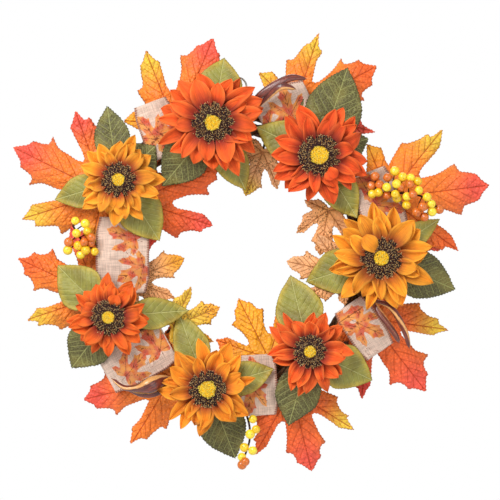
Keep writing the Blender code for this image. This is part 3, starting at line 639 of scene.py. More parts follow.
def leaf_material(name, vein, vein_width, side_share, pebble_relief_and_shade, speckle, edge, net=0.0):
    """Printed and embossed leaf cloth: veins, pebbled grain with painted shade between the pebbles and
    painted light on their tops, specks and a coloured edge.
    """
    graph = Graph(name)
    place = graph.position()
    main, side, margin = graph.split(graph.attribute("detail"))
    grain = graph.noise(place, 900.0, 2.0)
    tint = graph.attribute("tint", "Color")
    tint = graph.shaded(tint, graph.noise(place, 70.0, 3.0), 0.3, 0.7, 0.9, 1.1)
    tint = graph.shaded(tint, grain, 0.3, 0.7, 0.96, 1.04)
    dome = graph.span(graph.cells(place, 250.0), 0.8, 0.05)
    # Painted shade in the hollows between the pebbles and painted light on their domed tops, scaled by the
    # pebble strength.
    tint = graph.shaded(tint, dome, 0.0, 0.7, 1.0 - 0.14 * pebble_relief_and_shade, 1.0 + 0.08 * pebble_relief_and_shade)
    specks = graph.times(graph.span(graph.cells(place, 480.0), 0.44, 0.28), speckle)
    patch = graph.span(graph.noise(place, 45.0, 2.0), 0.42, 0.56)
    tint = graph.mix(graph.times(specks, patch), tint, SPECK)
    ridge = graph.span(main, vein_width, vein_width * 0.3)
    branch = graph.times(graph.span(side, vein_width * 0.8, vein_width * 0.2), side_share)
    lines = graph.maths("MAXIMUM", ridge, branch)
    web = graph.node("TexVoronoi", {"Vector": place, "Scale": 300.0}, feature="DISTANCE_TO_EDGE")
    web_share = graph.span(web.outputs["Distance"], 0.12, 0.03, 0.0, net)
    lines = graph.maths("MAXIMUM", lines, web_share)
    tint = graph.mix(graph.times(lines, 0.75), tint, vein)
    tint = graph.mix(graph.times(graph.span(margin, 1.0, 0.1), 0.7), tint, edge)
    height = graph.plus(graph.times(dome, pebble_relief_and_shade), graph.times(grain, 0.1))
    height = graph.maths("SUBTRACT", height, graph.times(lines, 0.8))
    graph.surface(tint, graph.span(grain, 0.2, 0.8, 0.42, 0.62), height, 0.8, 0.0014)
    return graph.constant(Specular_IOR_Level=0.4)


def petal_material(name):
    """Soft petal cloth with lengthwise streaks; detail is (across, along, chance)."""
    graph = Graph(name)
    across, along, chance = graph.split(graph.attribute("detail"))
    place = graph.join(graph.times(across, 5.0), along, graph.times(chance, 40.0))
    streak = graph.noise(place, 2.2, 3.0, 0.6)
    cloth = graph.position()
    weave = graph.noise(cloth, 1500.0, 1.0)
    tint = graph.shaded(graph.attribute("tint", "Color"), streak, 0.3, 0.72, 0.78, 1.14)
    tint = graph.shaded(tint, graph.noise(cloth, 120.0, 2.0), 0.3, 0.7, 0.9, 1.08)
    height = graph.plus(streak, graph.times(weave, 0.3))
    graph.surface(tint, graph.span(weave, 0.2, 0.8, 0.62, 0.82), height, 0.45, 0.0008)
    return graph.constant(Specular_IOR_Level=0.3, Sheen_Weight=0.15, Sheen_Roughness=0.4)


def seed_material():
    """Fibres of the seed head: vertex colours broken by fine specks."""
    graph = Graph("seed_fibre")
    fleck = graph.noise(graph.position(), 1600.0, 2.0)
    tint = graph.shaded(graph.attribute("tint", "Color"), fleck, 0.3, 0.7, 0.7, 1.25)
    graph.surface(tint, graph.span(fleck, 0.2, 0.8, 0.7, 0.9), fleck, 0.5)
    return graph.constant(Specular_IOR_Level=0.25, Sheen_Weight=0.1)


def burlap_material():
    """Plain weave with slubs, a stitched edge and printed leaves; detail is (along, across, edge)."""
    graph = Graph("printed_burlap")
    along, across, margin = graph.split(graph.attribute("detail"))
    leaf, vein, curl = graph.split(graph.attribute("prints"))

    def ridges(value):
        """Threads side by side."""
        return graph.maths("ABSOLUTE", graph.maths("SINE", graph.times(value, math.pi / THREAD_PITCH)))

    def painted(base, share, weight, tint):
        """Ink on the cloth."""
        return graph.mix(graph.times(share, weight), base, tint)

    threads = graph.times(ridges(across), ridges(along))
    long_slub = graph.noise(graph.join(graph.times(along, 0.05), across), 1.1, 2.0)
    cross_slub = graph.noise(graph.join(along, graph.times(across, 0.05)), 1.1, 2.0)
    slub = graph.plus(long_slub, cross_slub)
    base = graph.mix(graph.span(threads, 0.0, 0.55), BURLAP_SHADE, BURLAP)
    base = graph.shaded(base, slub, 0.75, 1.25, 0.74, 1.12)
    worn = graph.span(slub, 0.8, 1.2, 0.75, 1.0)
    leaf_share = graph.span(graph.noise(graph.join(along, across), 0.09, 1.0), 0.36, 0.64)
    leaf_ink = graph.mix(leaf_share, colour(206, 70, 34), colour(236, 150, 56))
    base = painted(base, graph.span(leaf, 0.35, -0.35), worn, leaf_ink)
    base = painted(base, graph.span(vein, 0.6, 0.2), 0.85, colour(112, 48, 26))
    base = painted(base, graph.span(curl, 0.55, 0.2), 0.85, colour(140, 66, 40))
    base = painted(base, graph.span(margin, 1.9, 0.7), 0.7, colour(158, 112, 92))
    stitch = graph.span(graph.maths("SINE", graph.times(along, 2.4)), -0.2, 0.5)
    stitch = graph.times(graph.span(margin, 2.4, 1.4), stitch)
    base = painted(base, stitch, 0.8, colour(150, 84, 62))
    height = graph.plus(graph.plus(threads, graph.times(slub, 0.8)), stitch)
    graph.surface(base, graph.span(slub, 0.8, 1.2, 0.95, 0.8), height, 0.7, 0.0005)
    return graph.constant(Specular_IOR_Level=0.2, Sheen_Weight=0.2)


def pod_material():
    """Glossy purple-brown husk with pale seams; detail is (length, angle, radius)."""
    graph = Graph("pod_husk")
    length, angle, _ = graph.split(graph.attribute("detail"))
    fibre_place = graph.join(graph.times(length, 0.08), graph.times(angle, 3.0))
    strands = graph.noise(fibre_place, 1.0, 4.0, 0.65)
    wave = graph.plus(graph.maths("COSINE", angle), graph.times(strands, 0.4))
    husk = graph.mix(graph.span(strands, 0.35, 0.65), colour(70, 26, 24), colour(134, 58, 40))
    base = graph.mix(graph.span(wave, 1.06, 1.16), husk, colour(222, 160, 92))
    fine = graph.noise(graph.position(), 700.0, 2.0)
    base = graph.shaded(base, fine, 0.3, 0.7, 0.82, 1.1)
    graph.surface(base, graph.span(fine, 0.3, 0.7, 0.26, 0.42), strands, 0.5, 0.0012)
    return graph.constant(Coat_Weight=0.5, Coat_Roughness=0.18, Specular_IOR_Level=0.5)


def berry_material():
    """Shiny lacquered berries with a faint mottle."""
    graph = Graph("lacquered_berry")
    place = graph.position()
    mottle = graph.noise(place, 320.0, 3.0)
    tint = graph.shaded(graph.attribute("tint", "Color"), mottle, 0.3, 0.7, 0.84, 1.1)
    graph.surface(tint, graph.span(mottle, 0.3, 0.7, 0.22, 0.36), graph.noise(place, 900.0, 2.0), 0.12)
    return graph.constant(Coat_Weight=0.4, Coat_Roughness=0.12, Subsurface_Weight=0.15,
                          Subsurface_Scale=0.003)


def bark_material(name, dark, light):
    """Bark with long fibres, darker and lighter patches and a fine grain; detail is (length, angle, radius).
    """
    graph = Graph(name)
    length, angle, _ = graph.split(graph.attribute("detail"))
    place = graph.position()
    fibre_place = graph.join(graph.times(length, 0.06), graph.maths("COSINE", angle),
                             graph.maths("SINE", angle))
    strands = graph.noise(fibre_place, 3.2, 5.0, 0.7)
    patch = graph.noise(place, 60.0, 3.0)
    base = graph.mix(graph.span(strands, 0.36, 0.64), dark, light)
    base = graph.shaded(base, patch, 0.3, 0.7, 0.7, 1.15)
    base = graph.mix(1.0, base, graph.attribute("tint", "Color"), "MULTIPLY")
    height = graph.plus(strands, graph.times(graph.noise(place, 500.0, 3.0), 0.5))
    graph.surface(base, graph.span(patch, 0.3, 0.7, 0.72, 0.9), height, 0.8, 0.0015)
    return graph.constant(Specular_IOR_Level=0.3)


def wire_material():
    """Dull steel wire with faint rust."""
    graph = Graph("hanger_steel")
    wear = graph.noise(graph.position(), 220.0, 4.0, 0.6)
    base = graph.mix(graph.span(wear, 0.5, 0.7), colour(186, 182, 174), colour(150, 128, 106))
    graph.surface(base, graph.span(wear, 0.3, 0.7, 0.3, 0.55), wear, 0.2)
    return graph.constant(Metallic=0.9)


def floor_material():
    """Matt pale floor with a faint unevenness."""
    graph = Graph("pale_floor")
    cloud = graph.noise(graph.position(), 3.0, 3.0)
    graph.surface(graph.mix(cloud, colour(236, 236, 236), colour(244, 244, 244)), 0.85)
    return graph.constant(Specular_IOR_Level=0.2, Emission_Color=(*WHITE, 1.0),
                          Emission_Strength=0.3)


FIRE_LEAF = leaf_material("fire_leaf", colour(184, 60, 18), 0.8, 0.6, 1.0, 0.12, colour(196, 84, 26))
PALE_LEAF = leaf_material("pale_leaf", colour(170, 100, 48), 0.8, 0.7, 0.6, 0.95, colour(206, 138, 74))
NET_LEAF = leaf_material("net_leaf", colour(176, 176, 108), 0.8, 0.85, 0.4, 0.1, colour(62, 62, 32), 0.4)
OLIVE_LEAF = leaf_material("olive_leaf", colour(196, 192, 122), 0.9, 0.5, 0.3, 0.1, colour(122, 112, 48))
PETAL = petal_material("petal_cloth")
SEED = seed_material()
PRINTED_BURLAP = burlap_material()
HUSK = pod_material()
BERRY = berry_material()
VINE = bark_material("grapevine_bark", colour(58, 36, 24), colour(140, 102, 68))
TWIG = bark_material("berry_twig", colour(38, 22, 16), colour(84, 52, 34))
STEEL = wire_material()


def finish_piece(shape, name, node, materials, thickness=0.0, body="wreath"):
    """Make a piece of a shape, put it on its body and hide the CAD node whose place it takes."""
    obj = shape.build(name, materials)
    if thickness:
        shell = obj.modifiers.new("cloth", "SOLIDIFY")
        shell.thickness = thickness * MM
        shell.offset = 0.0
    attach(obj, body)
    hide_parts(node)
    return obj


# ---------------------------------------------------------------- leaves

def sharp_outline(corners, step):
    """Outline through (u, v, sharp) corners, smooth except at the sharp ones."""
    outline, run = [], []
    for u, v, sharp in corners:
        run.append((u, v))
        if sharp and len(run) > 1:
            outline.append(catmull(run, step)[:-1])
            run = [(u, v)]
    if len(run) > 1:
        outline.append(catmull(run, step)[:-1])
    return np.vstack(outline)


def serrated(outline, period, depth, rng):
    """Push fine saw teeth out of a closed outline."""
    after, before = np.roll(outline, -1, axis=0), np.roll(outline, 1, axis=0)
    along = unit(after - before)
    normal = np.column_stack([along[:, 1], -along[:, 0]])
    steps = np.linalg.norm(outline - before, axis=1)
    place = np.cumsum(steps) / period + 0.15 * np.sin(np.cumsum(steps) / 7.0 + rng.uniform(0.0, 6.0))
    saw = 1.0 - np.mod(place, 1.0)
    return outline - normal * ((saw - 0.5) * depth)[:, None]


def triangulated(outline, veins, spacing, rng):
    """Triangles of a leaf blade whose edges follow its veins."""
    low, high = outline.min(0), outline.max(0)
    rows = np.arange(low[1], high[1], spacing * 0.87)
    columns = np.arange(low[0], high[0], spacing)
    scatter = np.array([(x + (number % 2) * spacing / 2.0, y)
                        for number, y in enumerate(rows) for x in columns])
    scatter = scatter + rng.uniform(-0.22, 0.22, scatter.shape) * spacing
    scatter = scatter[inside_outline(scatter, outline)]
    clear = edge_distance(scatter, outline) > 0.5 * spacing
    clear &= line_distance(scatter, veins) > 0.3 * spacing
    coords = [tuple(point) for point in outline]
    edges = [(number, (number + 1) % len(outline)) for number in range(len(outline))]
    for vein in veins:
        first = len(coords)
        coords += [tuple(point) for point in vein]
        edges += [(first + number, first + number + 1) for number in range(len(vein) - 1)]
    coords += [tuple(point) for point in scatter[clear]]
    verts, _, faces, *_ = delaunay_2d_cdt([Vector(point) for point in coords], edges, [], 1, 1e-4)
    return np.array([tuple(vert) for vert in verts]), faces


def side_vein(start, heading, bend, reach, outline):
    """A branch vein that stops short of the blade's edge."""
    point, path = np.array(start, float), [np.array(start, float)]
    for number in range(SIDE_VEIN_STEPS):
        way = np.array(polar(heading + bend * number / SIDE_VEIN_STEPS, 1.0))
        point = point + way * reach / SIDE_VEIN_STEPS
        path.append(point)
    path = np.array(path)
    within = inside_outline(path, outline) & (edge_distance(path, outline) > SIDE_VEIN_MARGIN)
    within[0] = True
    stop = len(path) if within.all() else int(np.argmin(within))
    return path[:stop]


def blade_detail(points, outline, mains, sides):
    """Distances of each vertex to the main veins, the side veins and the edge."""
    return np.column_stack([line_distance(points, mains), line_distance(points, sides),
                            edge_distance(points, outline)])


def maple_blade(length, rng):
    """Outline and veins of a maple leaf that points along +u."""
    half = []
    for angle, reach, sharp in MAPLE_EDGE:
        swing = math.radians(angle + rng.uniform(-1.2, 1.2))
        reach *= length * rng.uniform(0.975, 1.025)
        half.append((reach * math.cos(swing), reach * math.sin(swing), sharp))
    left = [(u, -v, sharp) for u, v, sharp in half]
    corners = left + [(length, 0.0, 1)] + half[::-1] + [left[0]]
    outline = sharp_outline(corners, MAPLE_OUTLINE_STEP)
    for _ in range(3):
        outline = (np.roll(outline, 1, axis=0) + 2.0 * outline + np.roll(outline, -1, axis=0)) / 4.0
    outline = serrated(outline, MAPLE_TOOTH, MAPLE_TOOTH_DEPTH, rng)
    mains, sides = [], []
    root = np.array([0.02 * length, 0.0])
    for axis, reach in LOBES:
        tip = np.array(polar(axis, 1.0)) * reach * length * 0.955
        middle = (root + tip) / 2.0 + (0.0, 0.006 * axis / 43.0 * length)
        mains.append(catmull([root, middle, tip], VEIN_STEP))
        steps = (0.30, 0.45, 0.58, 0.70, 0.81) if reach > 0.6 else (0.45, 0.68)
        for share in steps:
            for way in (1.0, -1.0):
                start = root + (tip - root) * share
                extent = 0.36 * reach * length * (1.15 - share)
                vein = side_vein(start, axis + way * 42.0, -way * 14.0, extent, outline)
                if len(vein) > 2:
                    sides.append(vein)
    return outline, mains, sides


def oval_blade(start, reach, width, tooth_depth, rng):
    """Outline and veins of an oval leaf that points along +u."""
    first = start + 0.16 * (reach - start)
    half = [(start, 1.2, 1)]
    half += [(first + t * (reach - first), share * width / 2.0 * rng.uniform(0.96, 1.04), 0)
             for t, share in OVAL_EDGE]
    left = [(u, -v, sharp) for u, v, sharp in half]
    corners = left + [(reach, 0.0, 1)] + half[::-1] + [left[0]]
    outline = serrated(sharp_outline(corners, OVAL_OUTLINE_STEP), OVAL_TOOTH, tooth_depth, rng)
    midrib = [(start + 0.5, 0.0), ((start + reach) / 2.0, 0.4), (reach - 1.6, 0.0)]
    mains = [catmull(midrib, VEIN_STEP)]
    sides = []
    for share in (0.05, 0.17, 0.30, 0.43, 0.56, 0.69, 0.81):
        for way in (1.0, -1.0):
            origin = (first + share * (reach - first), 0.2)
            vein = side_vein(origin, way * 50.0, -way * 12.0, 0.62 * width, outline)
            if len(vein) > 2:
                sides.append(vein)
    return outline, mains, sides


def lay_blade(points, heights, x, z, heading, crest):
    """Rows of (x, z, depth) for blade points on the roof-shaped layer."""
    plane = turned(points, heading) + (x, z)
    roof = crest - ROOF_SLOPE * away_from_ring(plane[:, 0], plane[:, 1])
    return np.column_stack([plane, roof + heights])


def lobe_weights(points, length):
    """How far each point is towards the tip of each lobe."""
    angle = np.degrees(np.arctan2(points[:, 1], points[:, 0]))
    reach = np.hypot(points[:, 0], points[:, 1]) / length
    weights = []
    for axis, tip in LOBES:
        near = np.exp(-((angle - axis) / (18.0 if abs(axis) < 60.0 else 24.0)) ** 2)
        weights.append(near * smoothstep(0.42, 0.98, reach / tip))
    return np.column_stack(weights)


def maple_leaf(index, node, heading, base, tips, pale):
    """One embossed maple leaf with its stalk."""
    rng = np.random.default_rng(MAPLE_SEED + index)
    crest = crest_of(node)
    low, high = plane_box(node, crest)
    edge = [polar(way * angle, reach) for angle, reach, _ in MAPLE_EDGE for way in (1.0, -1.0)]
    plan = turned(np.array(edge + [(1.0, 0.0)]), heading)
    length = float(np.mean((high - low) / (plan.max(0) - plan.min(0))))
    x, z = (low + high) / 2.0 - (plan.max(0) + plan.min(0)) / 2.0 * length
    outline, mains, sides = maple_blade(length, rng)
    points, faces = triangulated(outline, mains + sides, MAPLE_SPACING, rng)
    detail = blade_detail(points, outline, mains, sides)
    weights = lobe_weights(points, length)
    heights = 2.2 * (1.0 - np.exp(-detail[:, 0] / 3.5)) - 0.018 * detail[:, 0] ** 2
    heights += 0.7 * (1.0 - np.exp(-detail[:, 1] / 1.4)) + 0.8 * ripple(points, 26.0, rng)
    droop = weights ** 2 @ rng.uniform(-7.0, 4.0, len(LOBES))
    heights += droop - 0.35 * smoothstep(2.0, 0.0, detail[:, 2])
    tint = np.broadcast_to(base, (len(points), 3))
    for lobe, tip in enumerate(tips):
        tint = mixed(tint, tip, np.clip(weights[:, lobe] * 1.25, 0.0, 1.0))
    glow = smoothstep(0.45, 0.0, np.hypot(points[:, 0], points[:, 1]) / length) * 0.3
    tint = mixed(tint, GOLD, glow)
    shape = Shape()
    shape.add(lay_blade(points, heights, x, z, heading, crest), faces, tint, detail)
    add_stalk(shape, node, x, z, heading, 0.06 * length, crest)
    finish_piece(shape, node + "_blade", node, [PALE_LEAF if pale else FIRE_LEAF, TWIG], LEAF_CLOTH)


def add_stalk(shape, node, x, z, heading, inset, crest):
    """The stalk from the CAD node's foot in the vines up to the blade."""
    points = node_points(node)
    angle = math.radians(heading)
    top_x, top_z = x + inset * math.cos(angle), z + inset * math.sin(angle)
    top = np.array([top_x, top_z, crest - ROOF_SLOPE * float(away_from_ring(top_x, top_z))])
    roof = crest - ROOF_SLOPE * away_from_ring(points[:, 0], points[:, 1])
    below = points[points[:, 2] < roof - 2.0]
    if not len(below):
        return
    foot = below[np.argsort(below[:, 2])[:4]].mean(0)
    middle = (foot + top) / 2.0 + (1.0, 1.0, 0.0)
    tube(shape, catmull([foot, middle, top], 2.5), 1.1, 8, slot=1)


def leaf_sprig(index, flower):
    """The green leaves of one sunflower, on a short hub."""
    name, _, _, _, _, leaves = flower
    node = "leaf_sprig_" + name
    rng = np.random.default_rng(SPRIG_SEED + index)
    x, z, _ = plane_disc(f"sunflower_{name}_seed_head")
    crest = crest_of(node)
    shape = Shape()
    for number, (heading, reach, width, dark) in enumerate(leaves):
        tooth_depth = DARK_TOOTH_DEPTH if dark else OLIVE_TOOTH_DEPTH
        outline, mains, sides = oval_blade(LEAF_START, reach, width, tooth_depth, rng)
        points, faces = triangulated(outline, mains + sides, OVAL_SPACING, rng)
        detail = blade_detail(points, outline, mains, sides)
        along = np.clip(points[:, 0] / reach, 0.0, 1.0)
        heights = 0.16 * np.abs(points[:, 1]) - 0.006 * points[:, 1] ** 2
        heights = heights - 7.0 * smoothstep(0.5, 1.05, along)
        heights += 0.8 * (1.0 - np.exp(-detail[:, 1] / 1.6)) + 1.0 * ripple(points, 24.0, rng)
        heights += 1.2 * smoothstep(6.0, 0.0, detail[:, 2]) * np.sin(points[:, 0] / 5.0 + number)
        heights += 0.9 * number + LIFTED_LEAVES.get((name, number), 0.0) * smoothstep(0.2, 0.6, along)
        if dark:
            tint = mixed(DARK_GREEN, MOSS, smoothstep(-0.4, 1.4, ripple(points, 30.0, rng)) * 0.8)
        else:
            tint = mixed(LIGHT_OLIVE, MOSS, smoothstep(-0.2, 1.2, ripple(points, 34.0, rng)) * 0.7)
            tint = mixed(tint, OLIVE_YELLOW, 0.35 * smoothstep(8.0, 0.0, detail[:, 2]))
        rows = lay_blade(points, heights, x, z, heading, crest)
        shape.add(rows, faces, tint, detail, slot=0 if dark else 1)
    hub = crest - ROOF_SLOPE * float(away_from_ring(x, z))
    rings = [(x, z, hub - 3.0), (x, z, hub - 1.0), (x, z, hub + 1.0), (x, z, hub + 2.5)]
    tube(shape, rings, [4.5, 6.5, 6.5, 4.0], 16, MOSS, slot=1, ridges=5, ridge_depth=0.06)
    finish_piece(shape, node + "_leaves", node, [NET_LEAF, OLIVE_LEAF], LEAF_CLOTH)


# ---------------------------------------------------------------- sunflowers

def petal(shape, x, z, bearing, start, reach, half_width, depth, looks, rng):
    """One creased petal with a curled tip."""
    main, edge, base = looks
    t = np.repeat(np.linspace(0.0, 1.0, PETAL_ROWS), PETAL_COLUMNS)
    s = np.tile(np.linspace(-1.0, 1.0, PETAL_COLUMNS), PETAL_ROWS)
    width = half_width * (2.45 * t ** 0.95 * np.maximum(1.0 - t, 0.0) ** 0.85 + 0.3 * (1.0 - t))
    bow = rng.uniform(-0.2, 0.2) * reach * t ** 2
    u = start + (reach - start) * t
    v = width * s + bow
    cup, crease = rng.uniform(0.1, 1.3), rng.uniform(-3.4, 2.0)
    rise, curl = rng.uniform(0.5, 6.0), rng.uniform(-9.0, 7.5)
    twist = rng.uniform(-0.8, 0.8)
    height = depth + rise * np.sin(math.pi * t * 0.8) + cup * s ** 2 * width * 0.7
    height += crease * (1.0 - np.abs(s)) ** 1.5 * smoothstep(0.0, 0.35, t) * (1.0 - t * 0.6)
    height += curl * smoothstep(0.55, 1.0, t) ** 1.4 + twist * s * width * t
    fold, side = max(rng.uniform(-1.3, 1.0), 0.0), rng.choice((-1.0, 1.0))
    lifted = fold * smoothstep(0.0, 1.0, side * s) * smoothstep(0.15, 0.6, t)
    height += lifted * width
    above = np.maximum(height - depth, 0.0)
    height = np.minimum(height, depth) + PETAL_RISE * np.tanh(above / PETAL_RISE)
    v = v - side * 0.55 * lifted * width
    height += 0.7 * np.sin(s * 6.0 + 3.0 * t + rng.uniform(0.0, 6.0)) * smoothstep(0.1, 0.5, t)
    u = u - 0.35 * np.abs(curl) * smoothstep(0.7, 1.0, t)
    shade = rng.uniform(0.8, 1.12)
    tint = mixed(main, edge, np.clip(np.abs(s) ** 2.2 * 0.8 + 0.25 * smoothstep(0.6, 1.0, t), 0.0, 1.0))
    # Towards the foot the tint goes to the base colour: on the sunflower petals a red flush of the cloth,
    # deepened by painted shade where they meet under the seed head.
    tint = mixed(tint, base, 0.95 * smoothstep(0.68, 0.2, t + 0.06 * np.abs(s))) * shade
    detail = np.column_stack([s, t, np.full(len(t), rng.uniform(0.0, 1.0))])
    plane = turned(np.column_stack([u, v]), bearing) + (x, z)
    shape.add(np.column_stack([plane, height]), grid_faces(PETAL_ROWS, PETAL_COLUMNS), tint, detail)


def petal_whorls(index, flower):
    """Three whorls of petals, one bent petal on some, and the calyx and stem behind them."""
    name, main, edge, base, _, _ = flower
    node = f"sunflower_{name}_petals"
    rng = np.random.default_rng(PETAL_SEED + index)
    x, z, head = plane_disc(f"sunflower_{name}_seed_head")
    _, _, reach = plane_disc(node)
    front = node_points(node)[:, 2].max()
    looks = (main, edge, base)
    shape = Shape()
    for count, share, width, sink, phase in WHORLS:
        for number in range(count):
            bearing = 360.0 * (number + phase) / count + rng.uniform(-9.0, 9.0)
            long = reach * share * rng.uniform(0.82, 1.06)
            petal(shape, x, z, bearing, 0.62 * head, long, width * reach * rng.uniform(0.8, 1.2),
                  front + sink + rng.uniform(-1.0, 1.0), looks, rng)
    if name in BENT_PETALS:
        bearing, inner = BENT_PETALS[name]
        # Its base colour is its main colour: no painted shade at its foot, as it lies over the seed head.
        petal(shape, x, z, bearing, 1.3 * head, inner * head, 0.19 * reach, front + 6.0,
              (main, edge, main), rng)
    back = front - 12.0
    foot = bundle_depth(math.hypot(x, z) - RING)
    calyx = [(x, z, back - 7.0), (x, z, back - 3.0), (x, z, back + 1.0), (x, z, back + 5.0)]
    tube(shape, calyx, [3.4, 8.0, 12.0, 12.5], 24, MOSS, slot=1, ridges=12, ridge_depth=0.08)
    for number in range(SEPALS):
        sepal = Shape()
        petal(sepal, x, z, 360.0 / SEPALS * number, 8.0, 0.5 * reach, 4.5, back + 1.0,
              (MOSS, LIGHT_OLIVE, DARK_GREEN), rng)
        shape.add(np.vstack(sepal.points), sepal.faces, np.vstack(sepal.tints), (2.0, 2.0, 2.0), slot=1)
    tube(shape, [(x, z, foot), (x, z, (foot + back) / 2.0), (x, z, back - 6.0)], 2.5, 12, MOSS, slot=1)
    finish_piece(shape, node + "_whorls", node, [PETAL, OLIVE_LEAF], PETAL_CLOTH)


def bundle_depth(offset):
    """Depth of the vines' front at an offset from the ring's centreline."""
    return math.sqrt(max(BUNDLE ** 2 - offset ** 2, 0.0)) + 0.3


def fibre(shape, foot, tip, radius, dark, light, bend):
    """A short tapered fibre, dark at the foot and light at the tip."""
    foot, tip = np.array(foot), np.array(tip)
    middle = (foot + tip) / 2.0 + bend
    points, tints = [], []
    for centre, size, tint in ((foot, radius, dark), (middle, radius * 0.9, blend(dark, light, 0.35))):
        for number in range(3):
            angle = 2.0 * math.pi * number / 3.0
            points.append(centre + np.array([math.cos(angle), math.sin(angle), 0.0]) * size)
            tints.append(tint)
    points.append(tip)
    tints.append(light)
    faces = [(number, (number + 1) % 3, 3 + (number + 1) % 3, 3 + number) for number in range(3)]
    faces += [(3 + number, 3 + (number + 1) % 3, 6) for number in range(3)] + [(2, 1, 0)]
    shape.add(points, faces, np.array(tints))


def seed_head(index, flower):
    """A dark dome thick with pale-tipped fibres round a fluffy yellow button."""
    name, _, _, _, button, _ = flower
    node = f"sunflower_{name}_seed_head"
    rng = np.random.default_rng(HEAD_SEED + index)
    x, z, radius = plane_disc(node)
    base, top = node_points(node)[:, 2].min(), node_points(node)[:, 2].max()

    def dome(share, under):
        """Depth of the dome at a share of its radius, so far under its top."""
        return base + (top - base - under) * float(smoothstep(1.06, 0.35, share))

    shape = Shape()
    shares = np.linspace(1.0, 0.0, DOME_RINGS)
    around = np.linspace(0.0, 2.0 * math.pi, DOME_SIDES, endpoint=False)
    points = []
    for share in shares:
        size = radius * 0.96 * share + 0.05
        points += [(x + size * math.cos(a), z + size * math.sin(a), dome(share, 2.6)) for a in around]
    faces = grid_faces(DOME_RINGS, DOME_SIDES, closed=True) + [tuple(range(DOME_SIDES - 1, -1, -1))]
    tints = np.repeat([BUTTON if share < button else HEAD_DARK for share in shares], DOME_SIDES, axis=0)
    shape.add(points, faces, tints)
    count = int(FIBRES_PER_SQUARE_MM * radius ** 2)
    for number in range(count):
        share = math.sqrt((number + 0.5) / count)
        angle = number * GOLDEN_ANGLE
        jitter = rng.uniform(-0.5, 0.5, 2)
        px = x + share * radius * 0.97 * math.cos(angle) + jitter[0]
        pz = z + share * radius * 0.97 * math.sin(angle) + jitter[1]
        ground = dome(share, 2.8)
        edge = button * (1.0 + 0.10 * math.sin(3.0 * angle + index) + 0.07 * math.sin(7.0 * angle))
        if share < edge:
            lean = rng.uniform(-1.3, 1.3, 2)
            light = blend(BUTTON_BRIGHT, BUTTON_PALE, rng.uniform())
            shade = blend(BUTTON, light, rng.uniform(0.2, 0.9))
            fibre(shape, (px, pz, ground), (px + lean[0], pz + lean[1], ground + rng.uniform(1.6, 3.6)),
                  0.62, shade, light, rng.uniform(-0.4, 0.4, 3))
            continue
        pale = rng.uniform() < (0.62 if share > edge + 0.10 else 0.12)
        light = blend(FIBRE_GOLD, FIBRE_CREAM, rng.uniform()) if pale else HEAD_UMBER
        out = 2.2 * (share - button)
        lean = rng.uniform(-1.2, 1.2, 2)
        tip = (px + out * math.cos(angle) + lean[0], pz + out * math.sin(angle) + lean[1],
               ground + rng.uniform(1.2, 2.8))
        foot_tint = blend(HEAD_DARK, light, 0.7) if pale else HEAD_DARK
        fibre(shape, (px, pz, ground - 0.3), tip, 0.42, foot_tint, light, rng.uniform(-0.5, 0.5, 3))
    finish_piece(shape, node + "_fibres", node, [SEED])


# ---------------------------------------------------------------- ribbons

def print_leaf(u, v, turn, size):
    """Outline and veins of a small maple leaf printed on the ribbon."""
    half = np.array([polar(angle, reach) for angle, reach, _ in MAPLE_EDGE]) * size
    outline = np.vstack([half * (1.0, -1.0), [(size, 0.0)], half[::-1]])
    veins = [np.array([(-0.25 * size, 0.0), (0.95 * size, 0.0)])]
    for axis, reach in LOBES[1:]:
        tip = np.array(polar(axis, 1.0)) * reach * size * 0.9
        veins.append(np.vstack([(0.0, 0.0), tip]))
        for share in (0.45, 0.7):
            side_tip = tip * share + turned(tip[None] * 0.26, 42.0 * (1 if axis > 0 else -1))[0]
            veins.append(np.vstack([tip * share, side_tip]))
    for share in (0.35, 0.6):
        for way in (30.0, -30.0):
            start = np.array([share * size, 0.0])
            veins.append(np.vstack([start, start + turned(np.array([[0.26 * size, 0.0]]), way)[0]]))
    move = np.array([u, v]) - turned(np.array([[0.4 * size, 0.0]]), turn)[0]
    return turned(outline, turn) + move, [turned(vein, turn) + move for vein in veins]


def print_curl(u, v):
    """A printed spiral tendril."""
    angles = np.linspace(0.0, 4.6 * math.pi / 2.0, 40)
    radius = 0.8 + 0.75 * angles
    spiral = np.column_stack([radius * np.cos(angles), radius * np.sin(angles)])
    steps = ((0.0, 0.0), (4.0, 4.0), (10.0, 2.0), (15.0, 6.0))
    tail = catmull([spiral[-1] + step for step in steps], 1.5)
    return np.vstack([spiral, tail]) + (u, v)


def ribbon_path(length, arch):
    """Side view of a loop: the arched top and the ends that curl under it, as (u, height)."""
    curl, tuck = 4.2, 13.0
    shares = np.linspace(-0.5, 0.5, 17)
    top = [(share * length, arch * math.cos(math.pi * share) ** 2) for share in shares]
    angles = np.linspace(0.0, math.pi, 9)[1:]
    right = [(length / 2.0 + curl * 0.55 * math.sin(a), -curl * 0.55 * (1.0 - math.cos(a)))
             for a in angles]
    right.append((length / 2.0 - tuck, -curl * 1.5))
    left = [(-u, h) for u, h in right]
    return catmull(left[::-1] + top + right, RIBBON_STEP)


